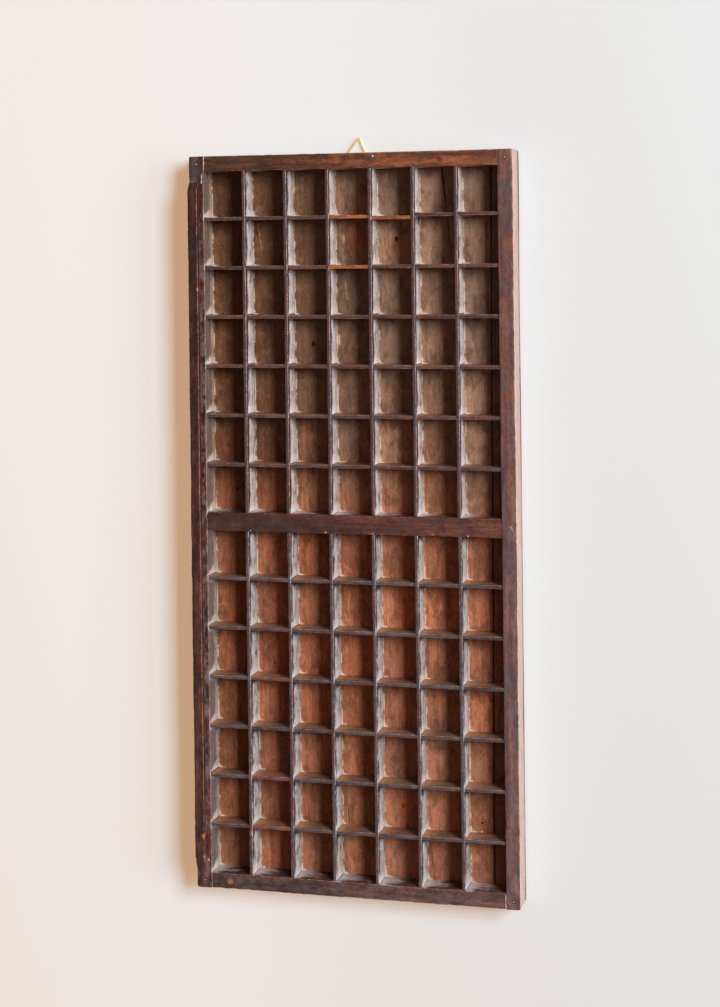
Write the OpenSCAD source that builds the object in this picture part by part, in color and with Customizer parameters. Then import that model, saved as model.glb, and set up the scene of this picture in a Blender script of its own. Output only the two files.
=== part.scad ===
// Letterpress type case, of the kind called an upper case: 98 equal boxes in two halves.
// It is laid out flat with its open side up. X runs along its length from the head end,
// Y runs across it from the front rail to the back rail, and Z is up.
// The origin is the middle of the underside. All sizes are in millimetres.

/* [Case] */
// Overall length over the end rails
case_len = 826; // [640:1:1000]
// Overall width over the front and back rails, at the head end
case_wid = 372; // [300:1:450]
// Height of the rails above the floor boards
wall_h = 29; // [24:0.5:45]
// Boxes across the width
cols = 7; // [3:1:9]
// Boxes along the length of each half
rows = 7; // [3:1:9]
// Radius of the four outer corners, seen from above
corner_r = 2; // [0.5:0.5:4]
// Chamfer along the top edges of the rails
rail_arris = 1; // [0.2:0.1:2]

/* [Rails] */
// Width of the front rail, lip and ledge together
front_rail_w = 17.5; // [16:0.5:26]
// Width of the back rail at the head end
back_rail_w = 17.5; // [16:0.5:26]
// How much narrower the back rail is planed at the foot end
back_rail_taper = 1.6; // [0.1:0.1:2]
// Width of the two end rails
end_rail_w = 17.5; // [14:0.5:26]
// Width of the bar between the two halves
bar_w = 21; // [14:0.5:34]
// Distance of the middle of the bar from the middle of the case, towards the head end
bar_shift = 0.8; // [0:0.1:3]

/* [Lip of the front rail] */
// Width of the raised lip
lip_w = 11.5; // [6:0.5:14]
// Height of the lip above the other rails
lip_h = 6.5; // [3:0.5:12]
// Length of the low block at the head end
head_block = 29; // [10:0.5:50]
// Length of the ramp from the head block up to the lip
head_ramp = 9.5; // [2:0.5:30]
// Length of the low block at the foot end
foot_block = 21.5; // [10:0.5:50]
// Length of the ramp from the foot block up to the lip
foot_ramp = 14.5; // [2:0.5:30]

/* [Dividers and partitions] */
// Thickness of the long dividers
divider_t = 4; // [3:0.1:6]
// How far the long dividers lie below the rails
divider_drop = 0.5; // [0:0.1:2]
// How far the ends of the long dividers enter the rails
housing_d = 3; // [1:0.5:5]
// Wood left above the end of a long divider, inside the rail
housing_stop = 5; // [3:0.5:8]
// Thickness of the short partitions
partition_t = 4; // [2:0.1:6]
// How far the short partitions lie below the rails
partition_drop = 1.5; // [0.5:0.1:4]
// Depth of the grooves that hold the short partitions
groove_d = 1; // [0.5:0.1:1.2]
// Chamfer along the top edges of dividers and partitions
blade_arris = 0.8; // [0.2:0.1:1.2]
// Room left at the end of each piece inside its groove, housing or mortise
end_gap = 0.2; // [0.1:0.05:0.5]

/* [Floor] */
// Thickness of the floor boards
floor_t = 5.5; // [5:0.5:12]
// How far the narrow floor board reaches in past the back rail at the head end
narrow_reach_head = 11.5; // [4:0.5:24]
// The same at the foot end
narrow_reach_foot = 17; // [4:0.5:24]
// Gap between the two floor boards
board_gap = 1.7; // [0.5:0.1:4]

/* [Corner joints] */
// Length of the tenons on the end rails and the bar
tenon_len = 13; // [10:0.5:14]
// Thickness of the tenons
tenon_t = 8; // [5:0.5:12]
// Height of the tenons
tenon_h = 16; // [10:0.5:18]
// Diameter of the pegs that lock the corner tenons
peg_d = 4; // [3:0.1:5]
// Length of the pegs
peg_len = 25; // [22:0.5:26]
// Distance of a peg from the inner face of its rail
peg_in = 8.2; // [6:0.1:9]
// Radial clearance of a peg, nail, brad or screw in its hole
pin_gap = 0.05; // [0.02:0.01:0.2]

/* [Nails and brads] */
// Shank diameter of the nails through the floor into the rails
nail_d = 1.8; // [1:0.1:3]
// Head diameter of those nails
nail_head_d = 4; // [3.2:0.1:6]
// Length of those nails
nail_len = 20; // [14:0.5:26]
// Shank diameter of the brads through the floor into the dividers
brad_d = 1.2; // [0.8:0.1:1.6]
// Head diameter of the brads
brad_head_d = 2.4; // [1.8:0.1:3]
// Length of the brads
brad_len = 16; // [12:0.5:24]
// Thickness of the nail and brad heads
nail_head_t = 0.8; // [0.4:0.1:1.5]
// How far the heads are sunk below the underside
nail_sunk = 0.2; // [0.1:0.1:1]

/* [Hanger] */
// Distance of the hanger's screw from the head end
screw_x_in = 10.3; // [9:0.1:12]
// Distance of that screw from the middle of the width, towards the back rail
screw_y = 2; // [-6:0.5:6]
// How far the hanger is turned about its screw, in degrees
hanger_turn = 7; // [-10:1:10]
// Side of the wire triangle, along the middle of the wire
ring_side = 26; // [20:0.5:34]
// Diameter of the wire
wire_d = 1.8; // [1.2:0.1:2]
// Bend radius of its corners, to the middle of the wire
bend_r = 1.5; // [1.2:0.1:2.5]
// Radial clearance of the wire in the loop of the strap
hinge_gap = 0.08; // [0.02:0.01:0.1]
// Width of the strap
strap_w = 10; // [7:0.5:12]
// Thickness of the strap's sheet, which is folded double
strap_t = 0.8; // [0.5:0.1:1]
// Length of the strap from the hinge line
strap_len = 12; // [10:0.5:13]
// Distance of the screw from the hinge line of the wire
screw_reach = 6.8; // [5:0.1:8]
// Shank diameter of the screw
screw_d = 2.6; // [2:0.1:3.5]
// Head diameter of the screw
screw_head_d = 5.4; // [4:0.1:7]
// Diameter of the flat face of the screw head
screw_face_d = 4.2; // [3:0.1:5]
// Height of the screw head
screw_head_h = 1.3; // [0.8:0.1:1.5]
// Length of the screw below its head
screw_len = 13; // [8:0.5:18]
// Room round the hanger in its pocket
pocket_gap = 1; // [0.5:0.1:3]
// Depth of that pocket in the underside
pocket_h = 4; // [3.9:0.1:4.5]

/* [Hidden] */
$fn = 48;
HALVES = ["head", "foot"];

stain = "#4a2a20";
dark_stain = "#3a241d";
bare_wood = "#7d5440";
floor_wood = "#6b4a36";
peg_wood = "#5d4a38";
iron = "#5a5552";
brass = "#c9a24a";

// How far cuts run past the faces that they open
over = 0.5;
// How far a shank runs into its head
shank_lap = 0.1;
// How far the straight sides of the wire run into its bends, and how much thicker the bends are
wire_lap = 0.05;
bend_swell = 0.04;
frame_z = floor_t + wall_h;
divider_z = frame_z - divider_drop;
partition_z = frame_z - partition_drop;
housing_z = frame_z - housing_stop;
tenon_z = floor_t + (wall_h - tenon_h) / 2;

head_x = -case_len / 2;
foot_x = case_len / 2;
front_y = -case_wid / 2;
back_y = case_wid / 2;
inner_front_y = front_y + front_rail_w;
inner_back_y = back_y - back_rail_w;
bar_x = -bar_shift;
box_wid = (inner_back_y - inner_front_y - (cols - 1) * divider_t) / cols;
col_pitch = box_wid + divider_t;

narrow_head_y = inner_back_y - narrow_reach_head;
narrow_foot_y = inner_back_y - narrow_reach_foot;

// The hanger is drawn about its own screw, with the wire's hinge line at hinge_x
hinge_x = -screw_reach;
bore_r = wire_d / 2 + hinge_gap;
loop_r = bore_r + strap_t;
hinge_z = pocket_h - loop_r;
strap_end_x = hinge_x + strap_len;
screw_seat_z = pocket_h - 2 * strap_t;
pocket_w = ring_side + wire_d + 2 * pocket_gap;

// Every second box along the rails has a nail, from the first
nailed_rows = [1 : 2 : rows];
// The boxes beside which each long divider has a brad
bradded_rows = [1, ceil(rows / 2), rows];

function half_x(half) = half == "head" ? head_x + end_rail_w : bar_x + bar_w / 2;
function half_end_x(half) = half == "head" ? bar_x - bar_w / 2 : foot_x - end_rail_w;
function half_len(half) = half_end_x(half) - half_x(half);
function box_len(half) = (half_len(half) - (rows - 1) * partition_t) / rows;
function row_pitch(half) = box_len(half) + partition_t;
function box_x(half, j) = half_x(half) + (j - 1) * row_pitch(half) + box_len(half) / 2;
function partition_x(half, j) = half_x(half) + j * row_pitch(half) - partition_t / 2;
function box_y(i) = inner_front_y + (i - 1) * col_pitch + box_wid / 2;
function divider_y(i) = inner_front_y + i * col_pitch - divider_t / 2;

// Where the nails and brads enter the underside
front_nails = [for (half = HALVES, j = nailed_rows) [box_x(half, j), front_y + front_rail_w / 2]];
back_nails = [for (half = HALVES, j = nailed_rows) [box_x(half, j), inner_back_y + back_rail_w / 2]];
bar_nails = [for (i = [1 : cols - 1]) [bar_x, divider_y(i)]];
foot_nails = [for (i = [1 : cols]) [foot_x - end_rail_w / 2, box_y(i)]];
head_nails = [for (i = [1 : cols]) if (abs(box_y(i) - screw_y) > pocket_w / 2 + nail_head_d)
    [head_x + end_rail_w / 2, box_y(i)]];
all_nails = concat(front_nails, back_nails, bar_nails, foot_nails, head_nails);
all_brads = [for (half = HALVES, j = bradded_rows, i = [1 : cols - 1])
    [box_x(half, j), divider_y(i)]];
peg_spots = [for (x = [head_x + end_rail_w / 2, foot_x - end_rail_w / 2],
    y = [inner_front_y - peg_in, inner_back_y + peg_in]) [x, y]];

// Extrudes a drawing of Y and Z along X, from x0 to x1
module along_x(x0, x1) {
    translate([x0, 0, 0]) rotate([90, 0, 90]) linear_extrude(x1 - x0) children();
}

// Extrudes a drawing of X and Z along Y, from y0 to y1
module along_y(y0, y1) {
    translate([0, y1, 0]) rotate([90, 0, 0]) linear_extrude(y1 - y0) children();
}

// A block given by its lowest and highest corners
module block(low, high) {
    translate(low) cube(high - low);
}

// The end view of a strip: from a to b, from z0 to z1, with its two top edges chamfered
module strip_end(a, b, z0, z1, arris) {
    polygon([[a, z0], [b, z0], [b, z1 - arris], [b - arris, z1], [a + arris, z1], [a, z1 - arris]]);
}

// The outline of the case from above, with the back rail's taper and rounded corners
module case_outline() {
    back_foot_y = back_y - back_rail_taper;
    difference() {
        polygon([[head_x, front_y], [foot_x, front_y], [foot_x, back_foot_y], [head_x, back_y]]);
        corner_waste(head_x, front_y, 0);
        corner_waste(foot_x, front_y, 90);
        corner_waste(foot_x, back_foot_y, 180);
        corner_waste(head_x, back_y, 270);
    }
}

// What rounding takes off one corner of the outline
module corner_waste(x, y, turn) {
    translate([x, y]) rotate(turn) difference() {
        translate([-over, -over]) square(corner_r + over);
        translate([corner_r, corner_r]) circle(corner_r);
    }
}

// Keeps the children inside the outline of the case, between two heights
module inside_outline(z0, z1) {
    intersection() {
        children();
        translate([0, 0, z0]) linear_extrude(z1 - z0) case_outline();
    }
}

// The grooves for the short partitions in the face at y, cut towards side -1 or 1
module partition_grooves(half, y, side) {
    for (j = [1 : rows - 1]) {
        x = partition_x(half, j);
        y0 = side < 0 ? y - groove_d : y - over;
        y1 = side < 0 ? y + over : y + groove_d;
        block([x - partition_t / 2, y0, floor_t - over], [x + partition_t / 2, y1, partition_z]);
    }
}

// The housings for the long dividers in the face at x, cut towards side -1 or 1
module divider_housings(x, side) {
    x0 = side < 0 ? x - housing_d : x - over;
    x1 = side < 0 ? x + over : x + housing_d;
    for (i = [1 : cols - 1])
        block([x0, divider_y(i) - divider_t / 2, floor_t - over],
              [x1, divider_y(i) + divider_t / 2, housing_z]);
}

// The tenons at both ends of a rail that is centred on x, or the mortises with room to spare
module cross_tenons(x, room = 0) {
    block([x - tenon_t / 2, inner_front_y - tenon_len - room, tenon_z],
          [x + tenon_t / 2, inner_front_y + over, tenon_z + tenon_h]);
    block([x - tenon_t / 2, inner_back_y - over, tenon_z],
          [x + tenon_t / 2, inner_back_y + tenon_len + room, tenon_z + tenon_h]);
}

module mortises() {
    cross_tenons(head_x + end_rail_w / 2, end_gap);
    cross_tenons(bar_x, end_gap);
    cross_tenons(foot_x - end_rail_w / 2, end_gap);
}

// A nail driven up from the underside at a spot, or its hole where room is more than zero
module nail(spot, d, head_d, len, room = 0) {
    low_z = room > 0 ? -over : nail_sunk;
    seat_z = nail_sunk + nail_head_t;
    translate([spot.x, spot.y, low_z]) cylinder(h = seat_z - low_z, d = head_d + 2 * room);
    translate([spot.x, spot.y, seat_z - shank_lap])
        cylinder(h = len + shank_lap, d = d + 2 * room);
}

module nail_holes(spots) {
    for (spot = spots) nail(spot, nail_d, nail_head_d, nail_len, pin_gap);
}

module brad_holes(spots) {
    for (spot = spots) nail(spot, brad_d, brad_head_d, brad_len, pin_gap);
}

// The pegs that lock the corners, or their holes
module pegs(spots, room = 0) {
    for (spot = spots)
        translate([spot.x, spot.y, frame_z - peg_len])
            cylinder(h = peg_len + (room > 0 ? over : 0), d = peg_d + 2 * room);
}

// Places what is drawn about the hanger's screw
module at_hanger() {
    translate([head_x + screw_x_in, screw_y, 0]) rotate(-hanger_turn) children();
}

module screw_hole() {
    translate([0, 0, -over])
        cylinder(h = over + screw_seat_z + screw_len, d = screw_d + 2 * pin_gap);
}

// The raised lip: a trapezoid along the rail, with ramps down to the two end blocks
module lip() {
    z0 = frame_z - rail_arris - over;
    z1 = frame_z + lip_h;
    intersection() {
        along_y(front_y - over, front_y + lip_w + over)
            polygon([[head_x + head_block, z0], [head_x + head_block, frame_z],
                     [head_x + head_block + head_ramp, z1], [foot_x - foot_block - foot_ramp, z1],
                     [foot_x - foot_block, frame_z], [foot_x - foot_block, z0]]);
        along_x(head_x, foot_x) strip_end(front_y, front_y + lip_w, z0 - over, z1, rail_arris);
    }
}

module front_rail() {
    color(dark_stain) difference() {
        union() {
            inside_outline(floor_t, frame_z)
                along_x(head_x, foot_x)
                    strip_end(front_y, inner_front_y, floor_t, frame_z, rail_arris);
            lip();
        }
        mortises();
        for (half = HALVES) partition_grooves(half, inner_front_y, -1);
        pegs(peg_spots, pin_gap);
        nail_holes(front_nails);
    }
}

module back_rail() {
    color(stain) difference() {
        inside_outline(floor_t, frame_z)
            along_x(head_x, foot_x)
                strip_end(inner_back_y, back_y, floor_t, frame_z, rail_arris);
        mortises();
        for (half = HALVES) partition_grooves(half, inner_back_y, 1);
        pegs(peg_spots, pin_gap);
        nail_holes(back_nails);
    }
}

// A rail across the case, with a tenon at each end
module cross_rail(x, w) {
    along_y(inner_front_y, inner_back_y) strip_end(x - w / 2, x + w / 2, floor_t, frame_z, rail_arris);
    cross_tenons(x);
}

module head_end_rail() {
    color(stain) difference() {
        cross_rail(head_x + end_rail_w / 2, end_rail_w);
        divider_housings(head_x + end_rail_w, -1);
        pegs(peg_spots, pin_gap);
        nail_holes(head_nails);
        at_hanger() screw_hole();
    }
}

module foot_end_rail() {
    color(dark_stain) difference() {
        cross_rail(foot_x - end_rail_w / 2, end_rail_w);
        divider_housings(foot_x - end_rail_w, 1);
        pegs(peg_spots, pin_gap);
        nail_holes(foot_nails);
    }
}

module centre_bar() {
    color(stain) difference() {
        cross_rail(bar_x, bar_w);
        divider_housings(bar_x - bar_w / 2, 1);
        divider_housings(bar_x + bar_w / 2, -1);
        nail_holes(bar_nails);
    }
}

// A long divider: a strip as long as its half, with a low tongue at each end
module divider(half, i) {
    x0 = half_x(half);
    x1 = half_end_x(half);
    y0 = divider_y(i) - divider_t / 2;
    y1 = divider_y(i) + divider_t / 2;
    tongue = housing_d - end_gap;
    color(stain) difference() {
        union() {
            along_x(x0, x1) strip_end(y0, y1, floor_t, divider_z, blade_arris);
            block([x0 - tongue, y0, floor_t], [x1 + tongue, y1, housing_z]);
        }
        partition_grooves(half, y0, 1);
        partition_grooves(half, y1, -1);
        brad_holes(all_brads);
    }
}

// One row of short partitions: a separate piece across each box
module partitions(half, j) {
    x = partition_x(half, j);
    reach = box_wid / 2 + groove_d - end_gap / 2;
    color(bare_wood)
        for (i = [1 : cols])
            along_y(box_y(i) - reach, box_y(i) + reach)
                strip_end(x - partition_t / 2, x + partition_t / 2, floor_t, partition_z, blade_arris);
}

// The pocket in the underside, which runs out past the head end
module hanger_pocket() {
    block([-2 * screw_x_in, -pocket_w / 2, -over],
          [strap_end_x + pocket_gap, pocket_w / 2, pocket_h]);
}

// A floor board as wide as the case, to be cut along the slanting joint
module floor_blank() {
    linear_extrude(floor_t) case_outline();
}

module floor_board_wide() {
    color(floor_wood) difference() {
        floor_blank();
        linear_extrude(floor_t)
            polygon([[head_x, narrow_head_y - board_gap], [foot_x, narrow_foot_y - board_gap],
                     [foot_x, back_y], [head_x, back_y]]);
        nail_holes(all_nails);
        brad_holes(all_brads);
        at_hanger() {
            hanger_pocket();
            screw_hole();
        }
    }
}

module floor_board_narrow() {
    color(floor_wood) difference() {
        floor_blank();
        linear_extrude(floor_t)
            polygon([[head_x, front_y], [foot_x, front_y],
                     [foot_x, narrow_foot_y], [head_x, narrow_head_y]]);
        nail_holes(all_nails);
    }
}

module corner_pegs() {
    color(peg_wood) pegs(peg_spots);
}

module rail_nails() {
    color(iron) for (spot = all_nails) nail(spot, nail_d, nail_head_d, nail_len);
}

module divider_brads() {
    color(iron) for (spot = all_brads) nail(spot, brad_d, brad_head_d, brad_len);
}

// The strap: sheet brass folded double, with a loop round the wire
module hanger_strap() {
    color(brass) at_hanger() difference() {
        along_y(-strap_w / 2, strap_w / 2) difference() {
            union() {
                translate([hinge_x, hinge_z]) circle(loop_r);
                translate([hinge_x, screw_seat_z]) square([strap_len, 2 * strap_t]);
            }
            translate([hinge_x, hinge_z]) circle(bore_r);
        }
        screw_hole();
    }
}

module hanger_screw() {
    color(brass) at_hanger() translate([0, 0, screw_seat_z]) {
        cylinder(h = screw_len, d = screw_d);
        translate([0, 0, -screw_head_h]) cylinder(h = screw_head_h, d1 = screw_face_d, d2 = screw_head_d);
    }
}

// The wire triangle, flat in line with the case and hinged at its base
module hanger_ring() {
    inner = ring_side / (2 * sqrt(3));
    straight = ring_side - 2 * sqrt(3) * bend_r + 2 * wire_lap;
    color(brass) at_hanger() translate([hinge_x - inner, 0, hinge_z])
        for (turn = [0, 120, 240]) rotate(turn) {
            translate([inner, -straight / 2, 0]) rotate([-90, 0, 0]) cylinder(h = straight, d = wire_d);
            rotate(60) translate([2 * inner - 2 * bend_r, 0, 0]) rotate(-60)
                rotate_extrude(angle = 120) translate([bend_r, 0]) circle(d = wire_d + bend_swell);
        }
}

front_rail();
back_rail();
head_end_rail();
foot_end_rail();
centre_bar();
for (half = HALVES, i = [1 : cols - 1])
    divider(half, i);
for (half = HALVES, j = [1 : rows - 1])
    partitions(half, j);
floor_board_wide();
floor_board_narrow();
corner_pegs();
rail_nails();
divider_brads();
hanger_strap();
hanger_screw();
hanger_ring();
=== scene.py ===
"""The looks of a letterpress type case: worn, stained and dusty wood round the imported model.

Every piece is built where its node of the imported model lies, in metres, with the open side up
(+Z), the head end at -X and the front rail, with its raised lip, at -Y.
"""

import logging
import math
from collections.abc import Callable, Iterable, Sequence
from dataclasses import dataclass, field
from enum import Enum
from typing import Any

import bmesh
import bpy
import numpy as np
from bpy.types import Material, Mesh, Node, NodeSocket, NodeTree, Object
from mathutils import Matrix, Vector


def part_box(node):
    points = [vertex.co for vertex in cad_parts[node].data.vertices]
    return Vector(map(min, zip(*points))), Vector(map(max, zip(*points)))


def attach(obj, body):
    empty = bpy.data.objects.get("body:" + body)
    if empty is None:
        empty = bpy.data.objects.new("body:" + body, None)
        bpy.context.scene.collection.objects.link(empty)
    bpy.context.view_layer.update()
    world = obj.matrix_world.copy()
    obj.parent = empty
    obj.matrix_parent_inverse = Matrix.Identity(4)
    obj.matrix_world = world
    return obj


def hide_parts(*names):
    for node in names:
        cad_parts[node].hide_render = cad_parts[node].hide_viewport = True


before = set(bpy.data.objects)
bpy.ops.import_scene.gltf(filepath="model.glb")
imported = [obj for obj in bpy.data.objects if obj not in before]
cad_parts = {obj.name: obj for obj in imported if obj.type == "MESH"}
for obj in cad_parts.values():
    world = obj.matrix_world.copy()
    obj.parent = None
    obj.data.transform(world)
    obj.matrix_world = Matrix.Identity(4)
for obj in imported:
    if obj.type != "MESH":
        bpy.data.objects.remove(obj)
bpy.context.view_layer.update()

log = logging.getLogger("type_case")

MM = 0.001
# Boxes along and across each half of the case.
BOXES = 7
# Where the finishes turn from the head half's to the foot half's, along X in millimetres.
HALVES = (-60.0, 60.0)

Colour = tuple[float, float, float]
Pair = tuple[float, float]
Triple = tuple[float, float, float]
Loop = list[Triple]
Edge = Callable[[float], float]


class Grain(Enum):
    """The way the grain of a piece runs."""

    ALONG_X = 0
    ALONG_Y = 1


class Slot(Enum):
    """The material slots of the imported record."""

    RAIL = "rail_wood"
    DIVIDER = "divider_wood"
    PARTITION = "partition_wood"
    FLOOR = "floor_wood"
    PEG = "peg_wood"
    IRON = "iron_nails"
    BRASS = "brass"


class Mark(Enum):
    """Names of the numbers that a mesh carries at its points, for the finishes to read."""

    ARRIS = "arris_mm"
    CHIP = "chip"
    WEAR = "wear"
    FACING = "facing"
    TINT = "tint"


@dataclass(frozen=True)
class Field:
    """A value that varies over a surface: one output of a node, with operators that add Math nodes."""

    graph: "Graph"
    socket: NodeSocket

    def other(self, name: str) -> "Field":
        """Another output of the same node."""
        return Field(self.graph, next(s for s in self.socket.node.outputs if s.name == name and s.enabled))

    def __add__(self, value: "Value") -> "Field":
        """The sum of this field and a value."""
        return self.graph.maths("ADD", self, value)

    def __sub__(self, value: "Value") -> "Field":
        """This field less a value."""
        return self.graph.maths("SUBTRACT", self, value)

    def __rsub__(self, value: "Value") -> "Field":
        """A value less this field."""
        return self.graph.maths("SUBTRACT", value, self)

    def __mul__(self, value: "Value") -> "Field":
        """The product of this field and a value."""
        return self.graph.maths("MULTIPLY", self, value)

    def __truediv__(self, value: "Value") -> "Field":
        """This field divided by a value."""
        return self.graph.maths("DIVIDE", self, value)

    __radd__ = __add__
    __rmul__ = __mul__


Value = Field | float


class Graph:
    """A node tree that is written one call at a time."""

    def __init__(self, tree: NodeTree) -> None:
        """Empties the tree, ready for its nodes.

        Args:
            tree: A shader tree or a geometry tree.
        """
        self.tree = tree
        tree.nodes.clear()

    @staticmethod
    def _input(node: Node, key: str | int) -> NodeSocket:
        """The input of a node by its index, or the first one in use with that name.

        Args:
            node: The node.
            key: The index or the name.

        Returns:
            The input.
        """
        if isinstance(key, int):
            return node.inputs[key]
        return next(s for s in node.inputs if s.name == key and s.enabled)

    def node(self, kind: str, settings: dict[str, Any] | None = None,
             sockets: dict[str | int, Any] | None = None) -> Field:
        """Adds a node.

        Args:
            kind: The node's type.
            settings: Its properties, set first.
            sockets: Values or fields for its inputs, by name or index. A colour may be six digits.

        Returns:
            Its first output in use.
        """
        made = self.tree.nodes.new(kind)
        for name, value in (settings or {}).items():
            setattr(made, name, value)
        for key, value in (sockets or {}).items():
            socket = self._input(made, key)
            if isinstance(value, Field):
                self.tree.links.new(value.socket, socket)
            elif socket.type == "RGBA":
                socket.default_value = (*(hue(value) if isinstance(value, str) else value), 1)
            else:
                socket.default_value = value
        outputs = [s for s in made.outputs if s.enabled]
        return Field(self, outputs[0] if outputs else made.inputs[0])

    def maths(self, operation: str, first: Value, second: Value = 0.0) -> Field:
        """A Math node on two numbers."""
        return self.node("ShaderNodeMath", {"operation": operation}, {0: first, 1: second})

    def ramp(self, value: Value, low: float, high: float) -> Field:
        """A smooth step from 0 where the value is low to 1 where it is high."""
        return self.node("ShaderNodeMapRange", {"interpolation_type": "SMOOTHSTEP"},
                         {"Value": value, "From Min": low, "From Max": high})

    def fall(self, value: Value, low: float, high: float) -> Field:
        """A smooth step from 1 where the value is low to 0 where it is high."""
        return 1.0 - self.ramp(value, low, high)

    def most(self, first: Value, *others: Value) -> Value:
        """The greatest of some values."""
        for value in others:
            first = self.maths("MAXIMUM", first, value)
        return first

    def vector(self, operation: str, first: Any, second: Any) -> Field:
        """A Vector Math node on two vectors."""
        return self.node("ShaderNodeVectorMath", {"operation": operation}, {0: first, 1: second})

    def scaled(self, vector: Any, amount: Value) -> Field:
        """A vector times a number."""
        return self.node("ShaderNodeVectorMath", {"operation": "SCALE"}, {"Vector": vector, "Scale": amount})

    def length(self, vector: Field) -> Field:
        """How long a vector is."""
        return self.node("ShaderNodeVectorMath", {"operation": "LENGTH"}, {"Vector": vector}).other("Value")

    def seen(self) -> Field:
        """1 for what the camera sees, also in a reflection or through glass, and 0 for light on things."""
        path = self.node("ShaderNodeLightPath")
        return self.most(path, path.other("Is Glossy Ray"), path.other("Is Transmission Ray"))

    def noise(self, place: Field, detail: float = 3.0, roughness: float = 0.55, twist: float = 0.0) -> Field:
        """Smooth noise, about 0.3 to 0.7, whose lumps are one unit of the place apart."""
        return self.node("ShaderNodeTexNoise", {"normalize": True},
                         {"Vector": place, "Scale": 1.0, "Detail": detail, "Roughness": roughness,
                          "Distortion": twist})


class Paint(Graph):
    """The shader tree of one finish, with the calls that wood and metal need."""

    def __init__(self, name: str) -> None:
        """Makes the material.

        Args:
            name: The material's name.
        """
        self.material = bpy.data.materials.new(name)
        self.material.use_nodes = True
        super().__init__(self.material.node_tree)
        where = self.node("ShaderNodeTexCoord").other("Object")
        self.place = self.scaled(where, 1 / MM)

    def squeezed(self, size: Triple) -> Field:
        """The place on the piece, in lumps of the given size along X, Y and Z, in millimetres."""
        return self.node("ShaderNodeMapping", {}, {"Vector": self.place, "Scale": tuple(1 / s for s in size)})

    def lumps(self, size: Triple, detail: float, roughness: float = 0.55, twist: float = 0.0) -> Field:
        """Noise in lumps of the given size along X, Y and Z, in millimetres."""
        return self.noise(self.squeezed(size), detail, roughness, twist)

    def mark(self, mark: Mark) -> Field:
        """A number that the mesh carries at its points."""
        found = self.node("ShaderNodeAttribute", {"attribute_type": "GEOMETRY", "attribute_name": mark.value})
        return found.other("Vector" if mark is Mark.FACING else "Fac")

    def mix(self, amount: Value, first: Any, second: Any, blend: str = "MIX") -> Field:
        """A mix of two colours."""
        return self.node("ShaderNodeMix", {"data_type": "RGBA", "blend_type": blend},
                         {"Factor": amount, "A": first, "B": second})

    def blend(self, amount: Value, first: Value, second: Value) -> Field:
        """A mix of two numbers."""
        return self.node("ShaderNodeMix", {"data_type": "FLOAT"}, {"Factor": amount, "A": first, "B": second})

    def split(self, vector: Field) -> tuple[Field, Field, Field]:
        """The three numbers of a vector."""
        parts = self.node("ShaderNodeSeparateXYZ", {}, {0: vector})
        return parts, parts.other("Y"), parts.other("Z")

    def near(self, spot: Triple, reach: float, ragged: Field, stretch: Triple, firm: float = 0.6) -> Field:
        """A mask that is 1 at a spot and 0 beyond its reach.

        Args:
            spot: The spot, in millimetres.
            reach: How far it reaches, in millimetres.
            ragged: A noise that makes the outline uneven.
            stretch: How much longer it is along X, Y and Z.
            firm: The share of the reach over which the mask is full.

        Returns:
            The mask.
        """
        shaped = self.vector("DIVIDE", self.vector("SUBTRACT", self.place, spot), stretch)
        return self.fall(self.length(shaped) + (ragged - 0.5) * reach, reach * firm, reach)

    def stroke(self, start: Triple, end: Triple, width: float, ragged: Field) -> Field:
        """A mask that is 1 along a straight line.

        Args:
            start: One end, in millimetres.
            end: The other end.
            width: The line's width, in millimetres.
            ragged: A noise that breaks the line up.

        Returns:
            The mask.
        """
        way = Vector(end) - Vector(start)
        offset = self.vector("SUBTRACT", self.place, start)
        along = self.node("ShaderNodeVectorMath", {"operation": "DOT_PRODUCT"},
                          {0: offset, 1: tuple(way / way.length_squared)}).other("Value")
        inside = self.maths("MINIMUM", self.maths("MAXIMUM", along, 0.0), 1.0)
        apart = self.length(self.vector("SUBTRACT", offset, self.scaled(tuple(way), inside)))
        return self.fall(apart + (ragged - 0.5) * width * 2.0, width * 0.25, width * 0.75)

    def finish(self, colour: Any, roughness: Value, height: Field, depth: float, metallic: float = 0.0,
               shine: float = 0.5) -> Material:
        """Closes the tree with one Principled shader.

        Args:
            colour: The base colour.
            roughness: The roughness.
            height: The height that makes the bump.
            depth: How high a height of 1 stands, in millimetres.
            metallic: 1 for metal.
            shine: The specular level.

        Returns:
            The material.
        """
        bump = self.node("ShaderNodeBump", {}, {"Height": height, "Distance": depth * MM, "Strength": 1.0})
        shader = self.node("ShaderNodeBsdfPrincipled", {}, {
            "Base Color": colour, "Roughness": roughness, "Metallic": metallic, "Specular IOR Level": shine,
            "Normal": bump})
        self.node("ShaderNodeOutputMaterial", {}, {"Surface": shader})
        return self.material


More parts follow.
